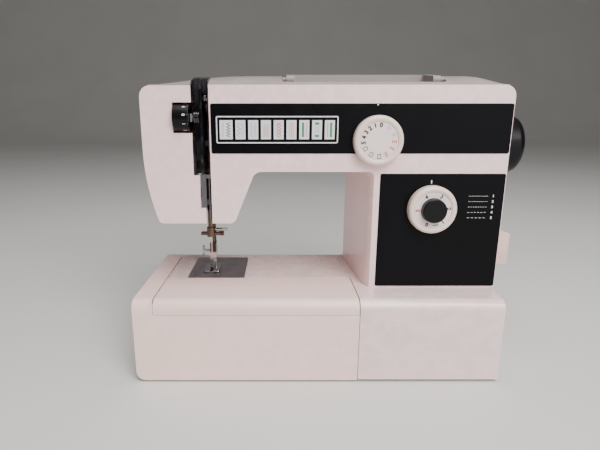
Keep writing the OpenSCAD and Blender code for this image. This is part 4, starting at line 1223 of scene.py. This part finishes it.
class MACHINE_OT_needle_area(bpy.types.Operator):
    """Needle plate, clamp, foot, thread guides, levers and lamp"""

    bl_idname = "machine.needle_area"
    bl_label = "Needle area"

    def execute(self, context):
        for node, name, width, material, body, slot in (
                ("needle_plate", "stitch_plate", 0.3, "plate_steel", "machine", None),
                ("screws", "screw_heads", 0.3, "chrome", "machine", None),
                ("thread_guides", "guides", 0.3, "guard_steel", "machine", "chrome"),
                ("presser_foot", "foot", 0.7, "foot_steel_painted_reflection", "presser", "chrome"),
                ("foot_screw", "thumb_screw", 0.3, "chrome", "presser", None),
                ("take_up_lever", "take_up", 0.3, "chrome", "take_up", None),
                ("presser_lifter", "lifter", 0.7, "lever_steel", "lifter", None)):
            moulded(node, name, width * MM, material, body, slot)
        self.clamp()
        for node, material in (("needle", "chrome"), ("lamp_bulb", "lamp_glass")):
            NODES[node].data.materials.clear()
            NODES[node].data.materials.append(MATERIALS[material])
        return {"FINISHED"}

    def clamp(self):
        """Needle clamp with its cross bar, thumb screw and chromed lever."""
        low, high = box_mm("needle_clamp")
        needle_low, needle_high = box_mm("needle")
        x, y = (needle_low.x + needle_high.x) / 2, (needle_low.y + needle_high.y) / 2
        lever_z, bar_z = high.z - 2.6, low.z + 3.5

        def rod(start, end, height, radius):
            length = end - start
            profile = [(0, 0), (radius - 0.5, 0), (radius, 0.5), (radius, length - 0.5),
                       (radius - 0.5, length), (0, length)]
            return turned("rod", profile, at(start, y, height), (1, 0, 0), 32)

        body = [copy_of("needle_clamp", "clamp"), rod(x + 9, x + 15, bar_z, 2.7),
                slab("bar", (x - 12, y - 3.4, bar_z - 1.7), (x + 10.5, y + 3.4, bar_z + 1.7), 0.6 * MM)]
        # the clamp's brown steel is a painted reflection
        finish_piece(join("clamp", body), "lever_steel", "needle_bar", "chrome", "needle_clamp")
        finish_piece(rod(x - 2.6, high.x, lever_z, 1.9), "chrome", "needle_bar", "chrome")


class MACHINE_OT_studio(bpy.types.Operator):
    """Pale floor, soft lights and the camera"""

    bl_idname = "machine.studio"
    bl_label = "Studio"

    def execute(self, context):
        side, middle, wall, sweep = 14, -0.8, 5, 2.0  # metres
        deselect()
        bpy.ops.mesh.primitive_plane_add(size=side, location=(0, middle, 0))
        floor = rename("studio_floor")
        settle(floor)
        back_edge = max(vertex.co.y for vertex in floor.data.vertices)
        pick(floor, lambda place: place.y > back_edge - 0.01)
        bpy.ops.mesh.extrude_region_move(TRANSFORM_OT_translate={"value": (0, 0, wall)})
        bpy.ops.object.mode_set(mode="OBJECT")
        modify(floor, "BEVEL", width=sweep, segments=16, limit_method="ANGLE")
        bpy.ops.object.shade_smooth()
        plastic("floor_paper", colour(214, 212, 208), shade=0.96, roughness=0.7, uneven=0.03, grain=300.0,
                bump=0.1, wear=0.0, dust=0.0, patches=2.0)
        floor.data.materials.append(MATERIALS["floor_paper"])
        for name, place, size, power in (  # metres and watts
                ("key_light", (0.45, -1.2, 1.3), 1.0, 33),
                ("fill_light", (0.9, -1.6, 0.7), 1.4, 9),
                ("top_light", (0.1, -0.5, 2.1), 1.2, 30)):
            self.area_light(name, Vector(place), size, power, Vector((0, 0, 0.15)))
        world = bpy.data.worlds.new("studio_world")
        world.use_nodes = True
        world.node_tree.nodes["Background"].inputs["Color"].default_value = (0.82, 0.8, 0.8, 1)
        world.node_tree.nodes["Background"].inputs["Strength"].default_value = 0.22
        context.scene.world = world
        self.camera()
        return {"FINISHED"}

    def area_light(self, name, place, size, power, aim):
        """A soft square light that faces the aim."""
        deselect()
        bpy.ops.object.light_add(type="AREA", location=place)
        light = rename(name)
        light.data.size = size
        light.data.energy = power
        light.rotation_euler = (place - aim).to_track_quat("Z", "Y").to_euler()

    def camera(self):
        """A camera in front of the base, a little above the head and tilted down."""
        eye, tilt = at(147.7, -424.9, 273.3), math.radians(76.4)
        deselect()
        bpy.ops.object.camera_add(location=eye, rotation=(tilt, 0, 0))
        camera = rename("view_camera")
        camera.data.sensor_width = 36
        camera.data.lens = sizes().camera_lens
        camera.data.shift_x = 0.0383
        camera.data.clip_start = 0.01
        bpy.context.scene.camera = camera


class MACHINE_PT_panel(bpy.types.Panel):
    """The steps that dress the sewing machine"""

    bl_idname = "MACHINE_PT_panel"
    bl_label = "Sewing Machine"
    bl_space_type = "VIEW_3D"
    bl_region_type = "UI"
    bl_category = "Sewing Machine"

    def draw(self, context):
        for step in STEPS:
            self.layout.operator(step.bl_idname)
        for group in (context.scene.machine_colours, context.scene.machine_sizes):
            for name in group.__annotations__:
                self.layout.prop(group, name)


STEPS = (
    MACHINE_OT_finishes,
    MACHINE_OT_casings,
    MACHINE_OT_top_cover,
    MACHINE_OT_base,
    MACHINE_OT_table,
    MACHINE_OT_panels,
    MACHINE_OT_controls,
    MACHINE_OT_stitch_window,
    MACHINE_OT_dials,
    MACHINE_OT_tension_print,
    MACHINE_OT_needle_area,
    MACHINE_OT_studio,
)
CLASSES = (MachineColours, MachineSizes, *STEPS, MACHINE_PT_panel)


def register():
    for cls in CLASSES:
        bpy.utils.register_class(cls)
    bpy.types.Scene.machine_colours = PointerProperty(type=MachineColours)
    bpy.types.Scene.machine_sizes = PointerProperty(type=MachineSizes)


def unregister():
    del bpy.types.Scene.machine_sizes
    del bpy.types.Scene.machine_colours
    for cls in reversed(CLASSES):
        bpy.utils.unregister_class(cls)


def main():
    """Dresses the machine step by step."""
    register()
    for step in STEPS:
        family, name = step.bl_idname.split(".")
        getattr(getattr(bpy.ops, family), name)()


if __name__ == "__main__":
    main()
